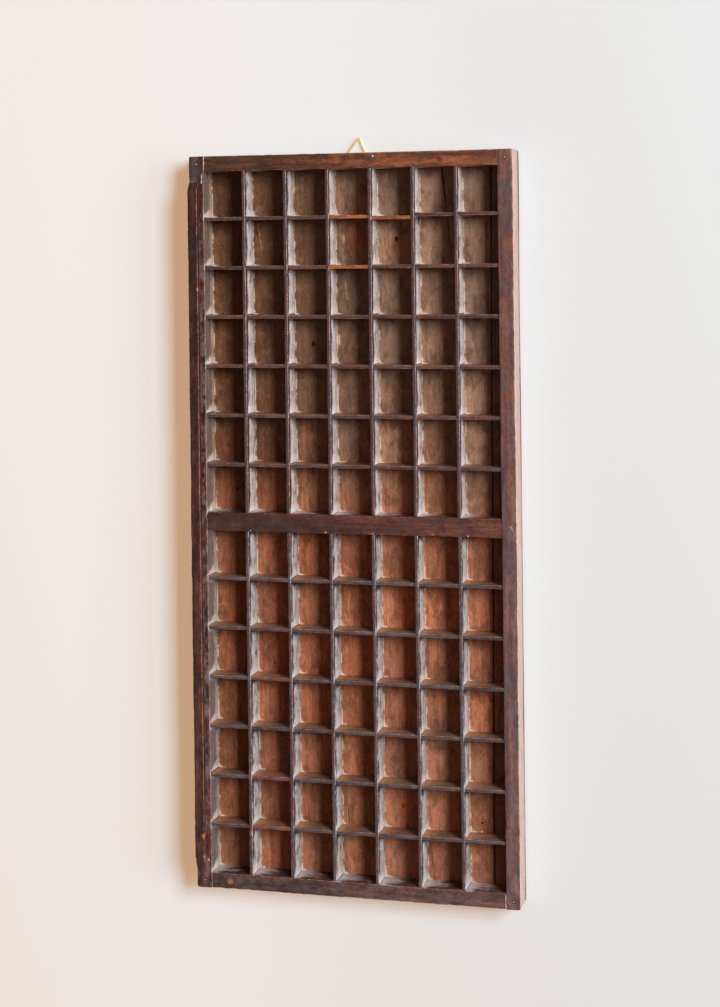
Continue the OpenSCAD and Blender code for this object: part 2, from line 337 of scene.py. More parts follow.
class Recipe(Graph):
    """A geometry tree with named inputs."""

    def __init__(self, name: str, inputs: dict[str, tuple[str, Any]]) -> None:
        """Makes the tree and its interface.

        Args:
            name: The tree's name.
            inputs: Each input's socket kind and default value, by name.
        """
        super().__init__(bpy.data.node_groups.new(name, "GeometryNodeTree"))
        self.tree.interface.new_socket("Geometry", in_out="OUTPUT", socket_type="NodeSocketGeometry")
        self.tree.interface.new_socket("Geometry", in_out="INPUT", socket_type="NodeSocketGeometry")
        for label, (kind, value) in inputs.items():
            made = self.tree.interface.new_socket(label, in_out="INPUT", socket_type=f"NodeSocket{kind}")
            if value is not None:
                made.default_value = value
        self.given = self.node("NodeGroupInput")

    def input(self, label: str) -> Field:
        """The field of a named input."""
        return self.given.other(label)

    def stored(self, geometry: Field, mark: Mark, value: Value, kind: str = "FLOAT") -> Field:
        """Writes a number to the points of a geometry, under a mark's name."""
        return self.node("GeometryNodeStoreNamedAttribute", {"data_type": kind, "domain": "POINT"},
                         {"Geometry": geometry, "Name": mark.value, "Value": value})

    def read(self, mark: Mark) -> Field:
        """The number that a geometry carries under a mark's name."""
        return self.node("GeometryNodeInputNamedAttribute", {"data_type": "FLOAT"}, {"Name": mark.value})

    def shown(self, geometry: Field) -> Field:
        """The geometry with the finish that the tree is given."""
        finish = self.input("Finish")
        return self.node("GeometryNodeSetMaterial", {}, {"Geometry": geometry, "Material": finish})

    def close(self, geometry: Field) -> NodeTree:
        """Joins the last geometry to the output and returns the tree."""
        self.node("NodeGroupOutput", {}, {"Geometry": geometry})
        return self.tree


def weathering_recipe() -> NodeTree:
    """The tree that ages a piece of wood: it bows a little, its faces are dented and its arrises nibbled.

    Returns:
        The tree. It leaves how worn each point is, and the way each point faces, on the mesh.
    """
    recipe = Recipe("weathering", {
        "Bow": ("Float", 0.3 * MM), "Dent": ("Float", 0.25 * MM), "Nibble": ("Float", 0.6 * MM),
        "Seed": ("Float", 0.0), "Finish": ("Material", None)})
    place = recipe.node("GeometryNodeInputPosition")
    normal = recipe.node("GeometryNodeInputNormal")
    number = recipe.input("Seed")
    seed = recipe.node("ShaderNodeCombineXYZ", {}, {0: number * 7.3, 1: number * 3.1})

    def lumps(per_metre: float, detail: float) -> Field:
        """Noise in lumps that many to a metre, moved by the seed."""
        return recipe.noise(recipe.vector("ADD", recipe.scaled(place, per_metre), seed), detail)

    slow = recipe.vector("SUBTRACT", lumps(5.0, 1.0).other("Color"), (0.5, 0.5, 0.5))
    bow = recipe.scaled(slow, recipe.input("Bow") * 4.0)
    dents = recipe.ramp(lumps(55.0, 2.0), 0.52, 0.72) * recipe.input("Dent")
    edge = recipe.fall(recipe.read(Mark.ARRIS), 0.2, 2.4)
    bites = recipe.ramp(lumps(120.0, 3.0), 0.46, 0.68) * 0.7 + recipe.ramp(lumps(22.0, 2.0), 0.42, 0.66) * 0.5
    wear = edge * bites
    inward = (dents + wear * recipe.input("Nibble")) * -1.0
    moved = recipe.node("GeometryNodeSetPosition", {}, {
        "Geometry": recipe.input("Geometry"),
        "Offset": recipe.vector("ADD", bow, recipe.scaled(normal, inward))})
    worn = recipe.stored(moved, Mark.WEAR, wear)
    faced = recipe.stored(worn, Mark.FACING, recipe.node("GeometryNodeInputNormal"), "FLOAT_VECTOR")
    return recipe.close(recipe.shown(recipe.node("GeometryNodeRealizeInstances", {}, {"Geometry": faced})))


def strewn(recipe: Recipe, label: str, seed: int, turns: dict[int, Value]) -> Field:
    """Sets an object at each point, turned at random.

    Args:
        recipe: The tree that it is added to.
        label: The named input that gives the object.
        seed: The seed of the first turn. Each other turn has the next one.
        turns: The most that the object turns about each axis, in radians.

    Returns:
        The solids.
    """
    pattern = recipe.node("GeometryNodeObjectInfo", {"transform_space": "ORIGINAL"},
                          {"Object": recipe.input(label)}).other("Geometry")
    angles = {}
    for at, (axis, most) in enumerate(turns.items()):
        angles[axis] = most * recipe.node("FunctionNodeRandomValue", {"data_type": "FLOAT"},
                                          {"Min": -1.0, "Max": 1.0, "Seed": seed + at})
    placed = recipe.node("GeometryNodeInstanceOnPoints", {}, {
        "Points": recipe.input("Geometry"), "Instance": pattern,
        "Rotation": recipe.node("ShaderNodeCombineXYZ", {}, angles)})
    return recipe.node("GeometryNodeRealizeInstances", {}, {"Geometry": placed})


def row_recipe(weathering: NodeTree) -> NodeTree:
    """The tree that sets one blade at each point of a row, a little askew, and ages them.

    Args:
        weathering: The tree from weathering_recipe.

    Returns:
        The tree.
    """
    recipe = Recipe("partition_row", {
        "Blade": ("Object", None), "Askew": ("Float", math.radians(0.35)), "Bow": ("Float", 0.2 * MM),
        "Nibble": ("Float", 0.4 * MM), "Seed": ("Float", 0.0), "Finish": ("Material", None)})
    blades = strewn(recipe, "Blade", 11, {axis: recipe.input("Askew") for axis in (1, 2)})
    aged = recipe.node("GeometryNodeGroup", {"node_tree": weathering}, {
        "Geometry": blades, "Bow": recipe.input("Bow"), "Nibble": recipe.input("Nibble"),
        "Seed": recipe.input("Seed"), "Finish": recipe.input("Finish")})
    return recipe.close(aged)


def driven_recipe() -> NodeTree:
    """The tree that sets one pin, nail or brad at each point, each with its own turn and lean.

    Returns:
        The tree.
    """
    recipe = Recipe("driven_pins", {
        "Pin": ("Object", None), "Lean": ("Float", math.radians(1.0)), "Finish": ("Material", None)})
    lean = recipe.input("Lean")
    return recipe.close(recipe.shown(strewn(recipe, "Pin", 5, {0: lean, 1: lean, 2: math.pi})))


def wire_recipe() -> NodeTree:
    """The tree that bends a round wire into a triangle with rounded corners, centred on the origin.

    Returns:
        The tree. Its first corner points along -X.
    """
    recipe = Recipe("wire_triangle", {
        "Side": ("Float", 26 * MM), "Bend": ("Float", 1.5 * MM), "Wire": ("Float", 1.8 * MM),
        "Wobble": ("Float", 0.12 * MM), "Finish": ("Material", None)})
    corners = recipe.node("GeometryNodeMeshCircle", {}, {
        "Vertices": 3, "Radius": recipe.input("Side") / math.sqrt(3)})
    turned = recipe.node("GeometryNodeTransform", {}, {"Geometry": corners, "Rotation": (0, 0, math.pi)})
    path = recipe.node("GeometryNodeMeshToCurve", {}, {"Mesh": turned})
    bent = recipe.node("GeometryNodeFilletCurve", {"mode": "POLY"}, {
        "Curve": path, "Count": 8, "Radius": recipe.input("Bend")})
    fine = recipe.node("GeometryNodeResampleCurve", {"mode": "LENGTH"}, {"Curve": bent, "Length": 0.35 * MM})
    place = recipe.node("GeometryNodeInputPosition")
    away = recipe.node("ShaderNodeSeparateXYZ", {}, {0: place})
    free = recipe.fall(away, -2.0 * MM, 2.0 * MM)
    shake = recipe.vector("SUBTRACT", recipe.noise(recipe.scaled(place, 130.0), 1.0).other("Color"),
                          (0.5, 0.5, 0.5))
    shaken = recipe.node("GeometryNodeSetPosition", {}, {
        "Geometry": fine, "Offset": recipe.scaled(shake, recipe.input("Wobble") * free * 4.0)})
    profile = recipe.node("GeometryNodeCurvePrimitiveCircle", {}, {
        "Resolution": 16, "Radius": recipe.input("Wire") * 0.5})
    tube = recipe.node("GeometryNodeCurveToMesh", {}, {"Curve": shaken, "Profile Curve": profile})
    smooth = recipe.node("GeometryNodeSetShadeSmooth", {}, {"Geometry": tube})
    return recipe.close(recipe.shown(recipe.node("GeometryNodeRealizeInstances", {}, {"Geometry": smooth})))


def grown(ob: Object, tree: NodeTree, inputs: dict[str, Any]) -> Object:
    """Runs a geometry tree on an object and leaves its result as the object's plain mesh.

    Args:
        ob: The object. It is linked to the scene.
        tree: The geometry tree.
        inputs: Values for the tree's named inputs.

    Returns:
        The same object.
    """
    modifier = ob.modifiers.new("looks", "NODES")
    modifier.node_group = tree
    names = {i.name: i.identifier for i in tree.interface.items_tree if i.in_out == "INPUT"}
    for label, value in inputs.items():
        modifier[names[label]] = value
    settled(ob)
    return ob


def settled(ob: Object) -> None:
    """Turns what an object's modifiers make into its own mesh, and removes them.

    Args:
        ob: The object.
    """
    ob.update_tag()
    depsgraph = bpy.context.evaluated_depsgraph_get()
    depsgraph.update()
    shape = bpy.data.meshes.new_from_object(ob.evaluated_get(depsgraph), preserve_all_data_layers=True,
                                            depsgraph=depsgraph)
    old = ob.data
    ob.modifiers.clear()
    ob.data = shape
    shape.name = ob.name
    bpy.data.meshes.remove(old)


def link(mesh: Mesh, name: str) -> Object:
    """A new object at the origin with this mesh, in the scene.

    Args:
        mesh: Its mesh.
        name: Its name.

    Returns:
        The object.
    """
    ob = bpy.data.objects.new(name, mesh)
    bpy.context.scene.collection.objects.link(ob)
    return ob


def drop(ob: Object) -> None:
    """Removes a helper object and its mesh."""
    mesh = ob.data
    bpy.data.objects.remove(ob)
    bpy.data.meshes.remove(mesh)


def creased(mesh: Mesh, angle: float = math.radians(38)) -> None:
    """Shades a mesh smoothly, but for the edges sharper than an angle, and drops what no face uses.

    Args:
        mesh: The mesh.
        angle: The angle, in radians.
    """
    work = bmesh.new()
    work.from_mesh(mesh)
    bmesh.ops.dissolve_degenerate(work, dist=0.002 * MM, edges=work.edges)
    bmesh.ops.delete(work, geom=[edge for edge in work.edges if not edge.link_faces], context="EDGES")
    bmesh.ops.delete(work, geom=[vertex for vertex in work.verts if not vertex.link_faces], context="VERTS")
    for face in work.faces:
        face.smooth = True
    for edge in work.edges:
        edge.smooth = len(edge.link_faces) == 2 and edge.calc_face_angle(0) < angle
    work.to_mesh(mesh)
    work.free()


def loft(name: str, rings: Sequence[Loop],
         marks: dict[Mark, Sequence[Sequence[float]]] | None = None) -> Mesh:
    """A closed solid through rings of points, with as many points in each.

    Args:
        name: The mesh's name.
        rings: The rings, in order along the piece.
        marks: Numbers for the points, ring by ring.

    Returns:
        The mesh, with points that lie together merged and its faces outward.
    """
    count = len(rings[0])
    points = [p for ring in rings for p in ring]
    last = (len(rings) - 1) * count
    sides = [(first + k, first + (k + 1) % count) for first in range(0, last, count) for k in range(count)]
    faces = [(a, b, b + count, a + count) for a, b in sides]
    faces += [tuple(reversed(range(count))), tuple(range(last, last + count))]
    mesh = bpy.data.meshes.new(name)
    mesh.from_pydata(points, [], faces)
    for mark, values in (marks or {}).items():
        layer = mesh.attributes.new(mark.value, "FLOAT", "POINT")
        layer.data.foreach_set("value", [v for ring in values for v in ring])
    work = bmesh.new()
    work.from_mesh(mesh)
    bmesh.ops.remove_doubles(work, verts=work.verts, dist=0.003 * MM)
    bmesh.ops.recalc_face_normals(work, faces=work.faces)
    work.to_mesh(mesh)
    work.free()
    return mesh


@dataclass(frozen=True)
class Corner:
    """A corner of a strip's section, and the edge that follows it."""

    across: float
    up: float
    radius: float = 0.2 * MM
    worn: bool = False
    splits: int = 0


# How the corners of a section are rounded: the steps of each arc, and the most that it takes of an edge.
ARC_STEPS = 4
CORNER_SHARE = 0.45
# What a point says of its distance from a worn arris where the section has none, in millimetres.
FAR_FROM_ARRIS = 50.0


def section_points(corners: Sequence[Corner]) -> tuple[list[Pair], list[float]]:
    """Rounds a section's corners and splits its edges.

    Args:
        corners: The corners, in order round the section.

    Returns:
        The points, and each one's distance from the nearest worn arris, in millimetres.
    """
    spots = [Vector((c.across, c.up)) for c in corners]
    points: list[Vector] = []
    arrises: list[Vector] = []
    for at, corner in enumerate(corners):
        here, back, on = spots[at], spots[at - 1], spots[(at + 1) % len(spots)]
        to_back, to_on = back - here, on - here
        cut = min(corner.radius, CORNER_SHARE * min(to_back.length, to_on.length))
        if cut > 0.01 * MM:
            start, end = here + to_back.normalized() * cut, here + to_on.normalized() * cut
        else:
            start = end = here
        if corner.worn and cut > 0.05 * MM:
            arrises.append(here)
        for step in range(ARC_STEPS + 1):
            t = step / ARC_STEPS
            points.append(start * (1 - t) ** 2 + here * 2 * t * (1 - t) + end * t ** 2)
        following = corners[(at + 1) % len(corners)]
        beyond = spots[(at + 2) % len(spots)] - on
        leave = min(following.radius, CORNER_SHARE * min(to_on.length, beyond.length))
        target = on - to_on.normalized() * leave if to_on.length > 1e-9 else on
        points += [end.lerp(target, (k + 1) / (corner.splits + 1)) for k in range(corner.splits)]
    if arrises:
        gaps = [min((p - a).length for a in arrises) / MM for p in points]
    else:
        gaps = [FAR_FROM_ARRIS] * len(points)
    return [tuple(p) for p in points], gaps


def stations(low: float, high: float, step: float, keep: Iterable[float] = ()) -> list[float]:
    """Places along a piece, close together at its ends.

    Args:
        low: Where the piece starts.
        high: Where it ends.
        step: The usual distance between two places.
        keep: Places that have to be among them.

    Returns:
        The places in order.
    """
    near_end = [0.0, 0.3 * MM, 0.8 * MM, 1.4 * MM, 2.0 * MM]
    fixed = sorted({*(low + d for d in near_end), *(high - d for d in near_end), *keep})
    out = [fixed[0]]
    for place in fixed[1:]:
        parts = max(1, round((place - out[-1]) / step))
        start = out[-1]
        out += [start + (place - start) * (k + 1) / parts for k in range(parts)]
    return out


@dataclass(frozen=True)
class Chip:
    """A place where the wood is knocked in, in metres."""

    spot: Triple
    reach: float
    depth: float


@dataclass(frozen=True)
class Frame:
    """Sizes and places of the case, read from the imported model, in metres."""

    head_x: float
    foot_x: float
    front_y: float
    inner_front_y: float
    inner_back_y: float
    floor_z: float
    rail_z: float
    lip_z: float
    half_x: dict[str, Pair]

    @classmethod
    def read(cls) -> "Frame":
        """Reads them from the boxes of the nodes.

        Returns:
            The sizes.
        """
        front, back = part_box("front_rail"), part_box("back_rail")
        head, foot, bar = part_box("head_end_rail"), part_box("foot_end_rail"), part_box("centre_bar")
        return cls(front[0].x, front[1].x, front[0].y, front[1].y, back[0].y, front[0].z, back[1].z,
                   front[1].z, {"head": (head[1].x, bar[0].x), "foot": (bar[1].x, foot[0].x)})


def edge_of(node: str, x: float, side: int) -> float:
    """How far a node reaches across the case at one end, in metres.

    Args:
        node: The node.
        x: The place along the case.
        side: -1 for its lowest Y there, 1 for its highest.

    Returns:
        That Y.
    """
    spots = [v.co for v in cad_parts[node].data.vertices]
    nearest = min(abs(c.x - x) for c in spots)
    found = [c.y for c in spots if abs(c.x - x) < nearest + 0.1 * MM]
    return max(found) if side > 0 else min(found)


def solids_of(node: str) -> list[tuple[Vector, Vector]]:
    """The boxes of the separate solids of a node, in order along X and Y.

    Args:
        node: The node.

    Returns:
        The low and the high corner of each.
    """
    work = bmesh.new()
    work.from_mesh(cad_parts[node].data)
    bmesh.ops.remove_doubles(work, verts=work.verts, dist=0.001 * MM)
    left, boxes = set(work.verts), []
    while left:
        todo = [left.pop()]
        low, high = todo[0].co.copy(), todo[0].co.copy()
        while todo:
            vertex = todo.pop()
            low, high = Vector(map(min, low, vertex.co)), Vector(map(max, high, vertex.co))
            fresh = {e.other_vert(vertex) for e in vertex.link_edges} & left
            left -= fresh
            todo += fresh
        boxes.append((low, high))
    work.free()
    return sorted(boxes, key=lambda b: (round(b[0].x, 4), round(b[0].y, 4)))


@dataclass
class Cutter:
    """A tool that gathers boxes and holes, and takes them out of a piece in three cuts.

    Shapes that overlap go into different cuts: the slots first, then the wide holes, then the narrow ones.
    """

    slots: bmesh.types.BMesh = field(default_factory=bmesh.new)
    wide: bmesh.types.BMesh = field(default_factory=bmesh.new)
    narrow: bmesh.types.BMesh = field(default_factory=bmesh.new)

    def box(self, low: Sequence[float], high: Sequence[float], turn: Matrix | None = None) -> None:
        """Adds a box, which may be turned and moved by a matrix.

        Args:
            low: Its low corner.
            high: Its high corner.
            turn: The matrix.
        """
        low, high = Vector(low), Vector(high)
        place = Matrix.Translation((low + high) / 2) @ Matrix.Diagonal((*(high - low), 1))
        bmesh.ops.create_cube(self.slots, size=1, matrix=(turn or Matrix()) @ place)

    def hole(self, x: float, y: float, z0: float, z1: float, radius: float, tip: float | None = None,
             sides: int = 20, narrow: bool = False) -> None:
        """Adds an upright round hole, which may end in another radius at the top.

        Args:
            x: Where its axis stands along the case.
            y: Where it stands across the case.
            z0: Its bottom.
            z1: Its top.
            radius: Its radius.
            tip: Its radius at the top.
            sides: How many sides it has.
            narrow: Cuts it last, with the narrow holes.
        """
        place = Matrix.Translation((x, y, (z0 + z1) / 2))
        bmesh.ops.create_cone(self.narrow if narrow else self.wide, cap_ends=True, segments=sides,
                              radius1=radius, radius2=radius if tip is None else tip, depth=z1 - z0,
                              matrix=place)

    def slit(self, line: Sequence[Triple], depth: float, rise: float) -> None:
        """Adds a thin wedge along a line of points (x, y, width), sunk below z and open above it.

        Args:
            line: The points, each with its width.
            depth: The lowest Z.
            rise: The highest Z.
        """
        rings = []
        for at, (x, y, wide) in enumerate(line):
            back, on = line[max(at - 1, 0)], line[min(at + 1, len(line) - 1)]
            way = Vector((on[0] - back[0], on[1] - back[1])).normalized()
            side = Vector((-way.y, way.x)) * wide / 2
            corners = ((-1, rise), (1, rise), (0.3, depth), (-0.3, depth))
            rings.append([(x + side.x * share, y + side.y * share, z) for share, z in corners])
        shape = loft("slit", rings)
        self.slots.from_mesh(shape)
        bpy.data.meshes.remove(shape)

    def cut(self, ob: Object) -> None:
        """Takes all of it out of an object's mesh.

        Args:
            ob: The object.
        """
        for work in (self.slots, self.wide, self.narrow):
            if work.verts:
                bmesh.ops.recalc_face_normals(work, faces=work.faces)
                mesh = bpy.data.meshes.new("cutter")
                work.to_mesh(mesh)
                tool = link(mesh, "cutter")
                modifier = ob.modifiers.new("cut", "BOOLEAN")
                modifier.operation, modifier.solver, modifier.object = "DIFFERENCE", "MANIFOLD", tool
                settled(ob)
                drop(tool)
            work.free()


@dataclass
class Strip:
    """A piece of wood sawn to a section and swept along one axis, and what joins it to the others."""

    node: str
    grain: Grain
    low: float
    high: float
    section: Callable[[float], Sequence[Corner]]
    step: float = 1.6 * MM
    keep: Sequence[float] = ()
    end: Sequence[Corner] = ()
    end_reach: float = 0.0
    chips: Sequence[Chip] = ()

    def mesh(self) -> Mesh:
        """The piece's mesh, with its chips, and with a tenon or a tongue at both ends where it has them.

        Returns:
            The mesh.
        """
        rows: list[tuple[float, Sequence[Corner]]] = [
            (s, self.section(s)) for s in stations(self.low, self.high, self.step, self.keep)]
        if self.end:
            rows = [(self.low - self.end_reach, self.end), (self.low, self.end), *rows,
                    (self.high, self.end), (self.high + self.end_reach, self.end)]
        rings, gaps = [], []
        for at, (place, corners) in enumerate(rows):
            points, distances = section_points(corners)
            if at in (0, len(rows) - 1):
                points = self._eased(points)
            rings.append([(place, a, z) if self.grain is Grain.ALONG_X else (a, place, z) for a, z in points])
            gaps.append(distances)
        chipped = [[0.0] * len(ring) for ring in rings]
        for chip in self.chips:
            self._knock(chip, rings, chipped)
        return loft(self.node, rings, {Mark.ARRIS: gaps, Mark.CHIP: chipped})

    @staticmethod
    def _eased(points: Sequence[Pair], amount: float = 0.25 * MM) -> list[Pair]:
        """The last ring of points, drawn in a little all round, which eases the sawn end.

        Args:
            points: The ring.
            amount: How far it is drawn in.

        Returns:
            The smaller ring.
        """
        array = np.array(points)
        middle, half = (array.max(0) + array.min(0)) / 2, (array.max(0) - array.min(0)) / 2
        return [tuple(p) for p in middle + (array - middle) * (1 - amount / half)]

    @staticmethod
    def _knock(chip: Chip, rings: list[Loop], chipped: list[list[float]]) -> None:
        """Pushes the points near a chip towards the middle of the piece, and marks them.

        Args:
            chip: The chip.
            rings: The piece's rings, which it changes.
            chipped: How much of a chip each point is in, from 0 to 1, which it raises.
        """
        spot = np.array(chip.spot)
        for ring, marks in zip(rings, chipped):
            array = np.array(ring)
            middle = (array.max(0) + array.min(0)) / 2
            distance = np.linalg.norm(array - spot, axis=1)
            for at in np.nonzero(distance < chip.reach)[0]:
                amount = 1 - (distance[at] / chip.reach) ** 2
                way = middle - array[at]
                ring[at] = tuple(array[at] + way / np.linalg.norm(way) * chip.depth * amount)
                marks[at] = max(marks[at], amount)


def turned(name: str, profile: Sequence[Pair], sides: int) -> Mesh:
    """A solid turned about the upright axis through the origin.

    Args:
        name: The mesh's name.
        profile: Its radius and height, from one end of the axis to the other.
        sides: Points in each ring.

    Returns:
        The mesh.
    """
    turns = [math.tau * k / sides for k in range(sides)]
    return loft(name, [[(r * math.cos(turn), r * math.sin(turn), z) for turn in turns] for r, z in profile])


class Joint(Enum):
    """The ways in which one piece enters another."""

    BLADE = "a short partition in its groove"
    TONGUE = "a long divider in its housing"
    TENON = "a tenon in its mortise"
    NAIL = "a nail or a brad"
    PEG = "a peg"


# Sizes of the joints.
HOUSING_Z = 29.5 * MM
TENON_HALF = 4 * MM
TENON_Z = (12 * MM, 28 * MM)
HEAD_SEAT_Z = 1 * MM
NAIL_SHANK = 0.45
BRAD_SHANK = 0.5
# The room that the joints leave, the overlap that counts as a joint, and how far a cut runs past a face.
END_GAP = 0.2 * MM
UNDER_GAP = 0.5 * MM
PIN_GAP = 0.05 * MM
TOUCH = 0.05 * MM
PAST = 1 * MM
# How far three of the partitions have slipped along the case, by half, row and column.
SLIPS = {("head", 1, 5): 1.6 * MM, ("head", 1, 6): -1.2 * MM, ("head", 1, 7): -1.2 * MM}

Box = tuple[Vector, Vector]


@dataclass
class Joinery:
    """Everything that enters another piece of the case, and so has to be cut out of it."""

    blades: dict[str, list[Box]]
    enter: list[tuple[Joint, Box]]
    pins: list[tuple[Joint, Box, float]]

    @classmethod
    def read(cls, sizes: Frame) -> "Joinery":
        """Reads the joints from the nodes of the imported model.

        Args:
            sizes: The frame's sizes.

        Returns:
            The joints.
        """
        blades: dict[str, list[Box]] = {}
        enter: list[tuple[Joint, Box]] = []
        for half in sizes.half_x:
            for row in range(1, BOXES):
                node = f"{half}_partitions_{row}"
                slips = [Vector((SLIPS.get((half, row, c), 0.0), 0, 0)) for c in range(1, BOXES + 1)]
                blades[node] = [(low + s, high + s) for (low, high), s in zip(solids_of(node), slips)]
                enter += [(Joint.BLADE, (low - Vector((0, END_GAP / 2, UNDER_GAP)),
                                         high + Vector((0, END_GAP / 2, 0)))) for low, high in blades[node]]
                low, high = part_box(f"{half}_divider_{row}")
                enter.append((Joint.TONGUE, (Vector((low.x - END_GAP, low.y, low.z - UNDER_GAP)),
                                             Vector((high.x + END_GAP, high.y, HOUSING_Z)))))
        for node in ("head_end_rail", "centre_bar", "foot_end_rail"):
            low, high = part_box(node)
            middle = (low.x + high.x) / 2
            enter.append((Joint.TENON, (Vector((middle - TENON_HALF, low.y - END_GAP, TENON_Z[0])),
                                        Vector((middle + TENON_HALF, high.y + END_GAP, TENON_Z[1])))))
        pins = [(Joint.NAIL, box, NAIL_SHANK) for box in solids_of("rail_nails")]
        pins += [(Joint.NAIL, box, BRAD_SHANK) for box in solids_of("divider_brads")]
        pins += [(Joint.PEG, box, 1.0) for box in solids_of("corner_pegs")]
        return cls(blades, enter, pins)

    def cutter(self, node: str, kinds: set[Joint]) -> Cutter:
        """The cutter for what enters a node.

        Args:
            node: The node.
            kinds: The kinds of joint that it has.

        Returns:
            The cutter, to which more can be added.
        """
        low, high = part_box(node)
        cutter = Cutter()

        def reaches(box: Box) -> bool:
            """Tells whether a box runs into the node's own box."""
            return all(box[0][k] < high[k] - TOUCH and box[1][k] > low[k] + TOUCH for k in range(3))

        for kind, box in self.enter:
            if kind in kinds and reaches(box):
                cutter.box(*box)
        for kind, box, share in self.pins:
            if kind not in kinds or not reaches(box):
                continue
            x, y = (box[0].x + box[1].x) / 2, (box[0].y + box[1].y) / 2
            radius = (box[1].x - box[0].x) / 2
            if kind is Joint.PEG:
                cutter.hole(x, y, box[0].z, box[1].z + PAST, radius + PIN_GAP, sides=24)
                continue
            start = low.z - PAST
            if low.z < HEAD_SEAT_Z:
                cutter.hole(x, y, -PAST, HEAD_SEAT_Z, radius + PIN_GAP, sides=14)
                start = HEAD_SEAT_Z - 0.1 * MM
            cutter.hole(x, y, start, box[1].z, radius * share + PIN_GAP, sides=10, narrow=True)
        return cutter


def hue(code: str) -> Colour:
    """A colour from six hexadecimal digits, made linear."""
    parts = [int(code[k:k + 2], 16) / 255 for k in (0, 2, 4)]
    return tuple(p / 12.92 if p <= 0.04045 else ((p + 0.055) / 1.055) ** 2.4 for p in parts)


@dataclass(frozen=True)
class Blot:
    """A round mark in the wood, such as a knot, a bare chip or a stain, in millimetres."""

    spot: Triple
    reach: float
    colour: str
    core: str | None = None
    stretch: Triple = (1, 1, 1)
    strength: float = 1.0
    firm: float = 0.6


@dataclass(frozen=True)
class Stroke:
    """A long mark, such as a scratch or the dust along a joint, in millimetres."""

    start: Triple
    end: Triple
    width: float
    colour: str
    strength: float = 1.0


@dataclass(frozen=True)
class InBox:
    """Where a point lies among the boxes: its box, and its distance from three walls in millimetres."""

    key: Field
    from_low_x: Field
    from_high_x: Field
    from_low_y: Field


@dataclass(frozen=True)
class BoxGrid:
    """The grid of boxes, for finishes that change from box to box, in metres."""

    front_y: float
    pitch_y: float
    starts: Pair
    pitches: Pair
    half_width: float
    half_length: float
    top: float
    wall: float = 4 * MM

    @classmethod
    def read(cls, sizes: Frame) -> "BoxGrid":
        """Works the grid out from the halves of the case, seven boxes by seven.

        Args:
            sizes: The frame's sizes.

        Returns:
            The grid.
        """
        wall = cls.wall
        pitches = tuple((x1 - x0 + wall) / BOXES for x0, x1 in sizes.half_x.values())
        return cls(sizes.inner_front_y, (sizes.inner_back_y - sizes.inner_front_y + wall) / BOXES,
                   tuple(x0 for x0, _ in sizes.half_x.values()), pitches, sizes.inner_back_y + PAST,
                   max(x1 for _, x1 in sizes.half_x.values()) + PAST, sizes.rail_z)

    def find(self, paint: Paint) -> InBox:
        """Finds the box that each point lies in, and where it lies in it.

        Args:
            paint: The finish's shader tree.

        Returns:
            The box and the distances.
        """
        x, y, _ = paint.split(paint.place)
        foot = paint.maths("GREATER_THAN", x, 0.0)
        pitch = paint.blend(foot, self.pitches[0] / MM, self.pitches[1] / MM)
        along = (x - paint.blend(foot, self.starts[0] / MM, self.starts[1] / MM)) / pitch
        across = (y - self.front_y / MM) / (self.pitch_y / MM)
        row, column = paint.maths("FLOOR", along), paint.maths("FLOOR", across)
        u, v = (along - row) * pitch, (across - column) * (self.pitch_y / MM)
        key = paint.node("ShaderNodeCombineXYZ", {}, {0: row + foot * 20.0, 1: column, 2: 0.0})
        return InBox(key, u, pitch - self.wall / MM - u, v)


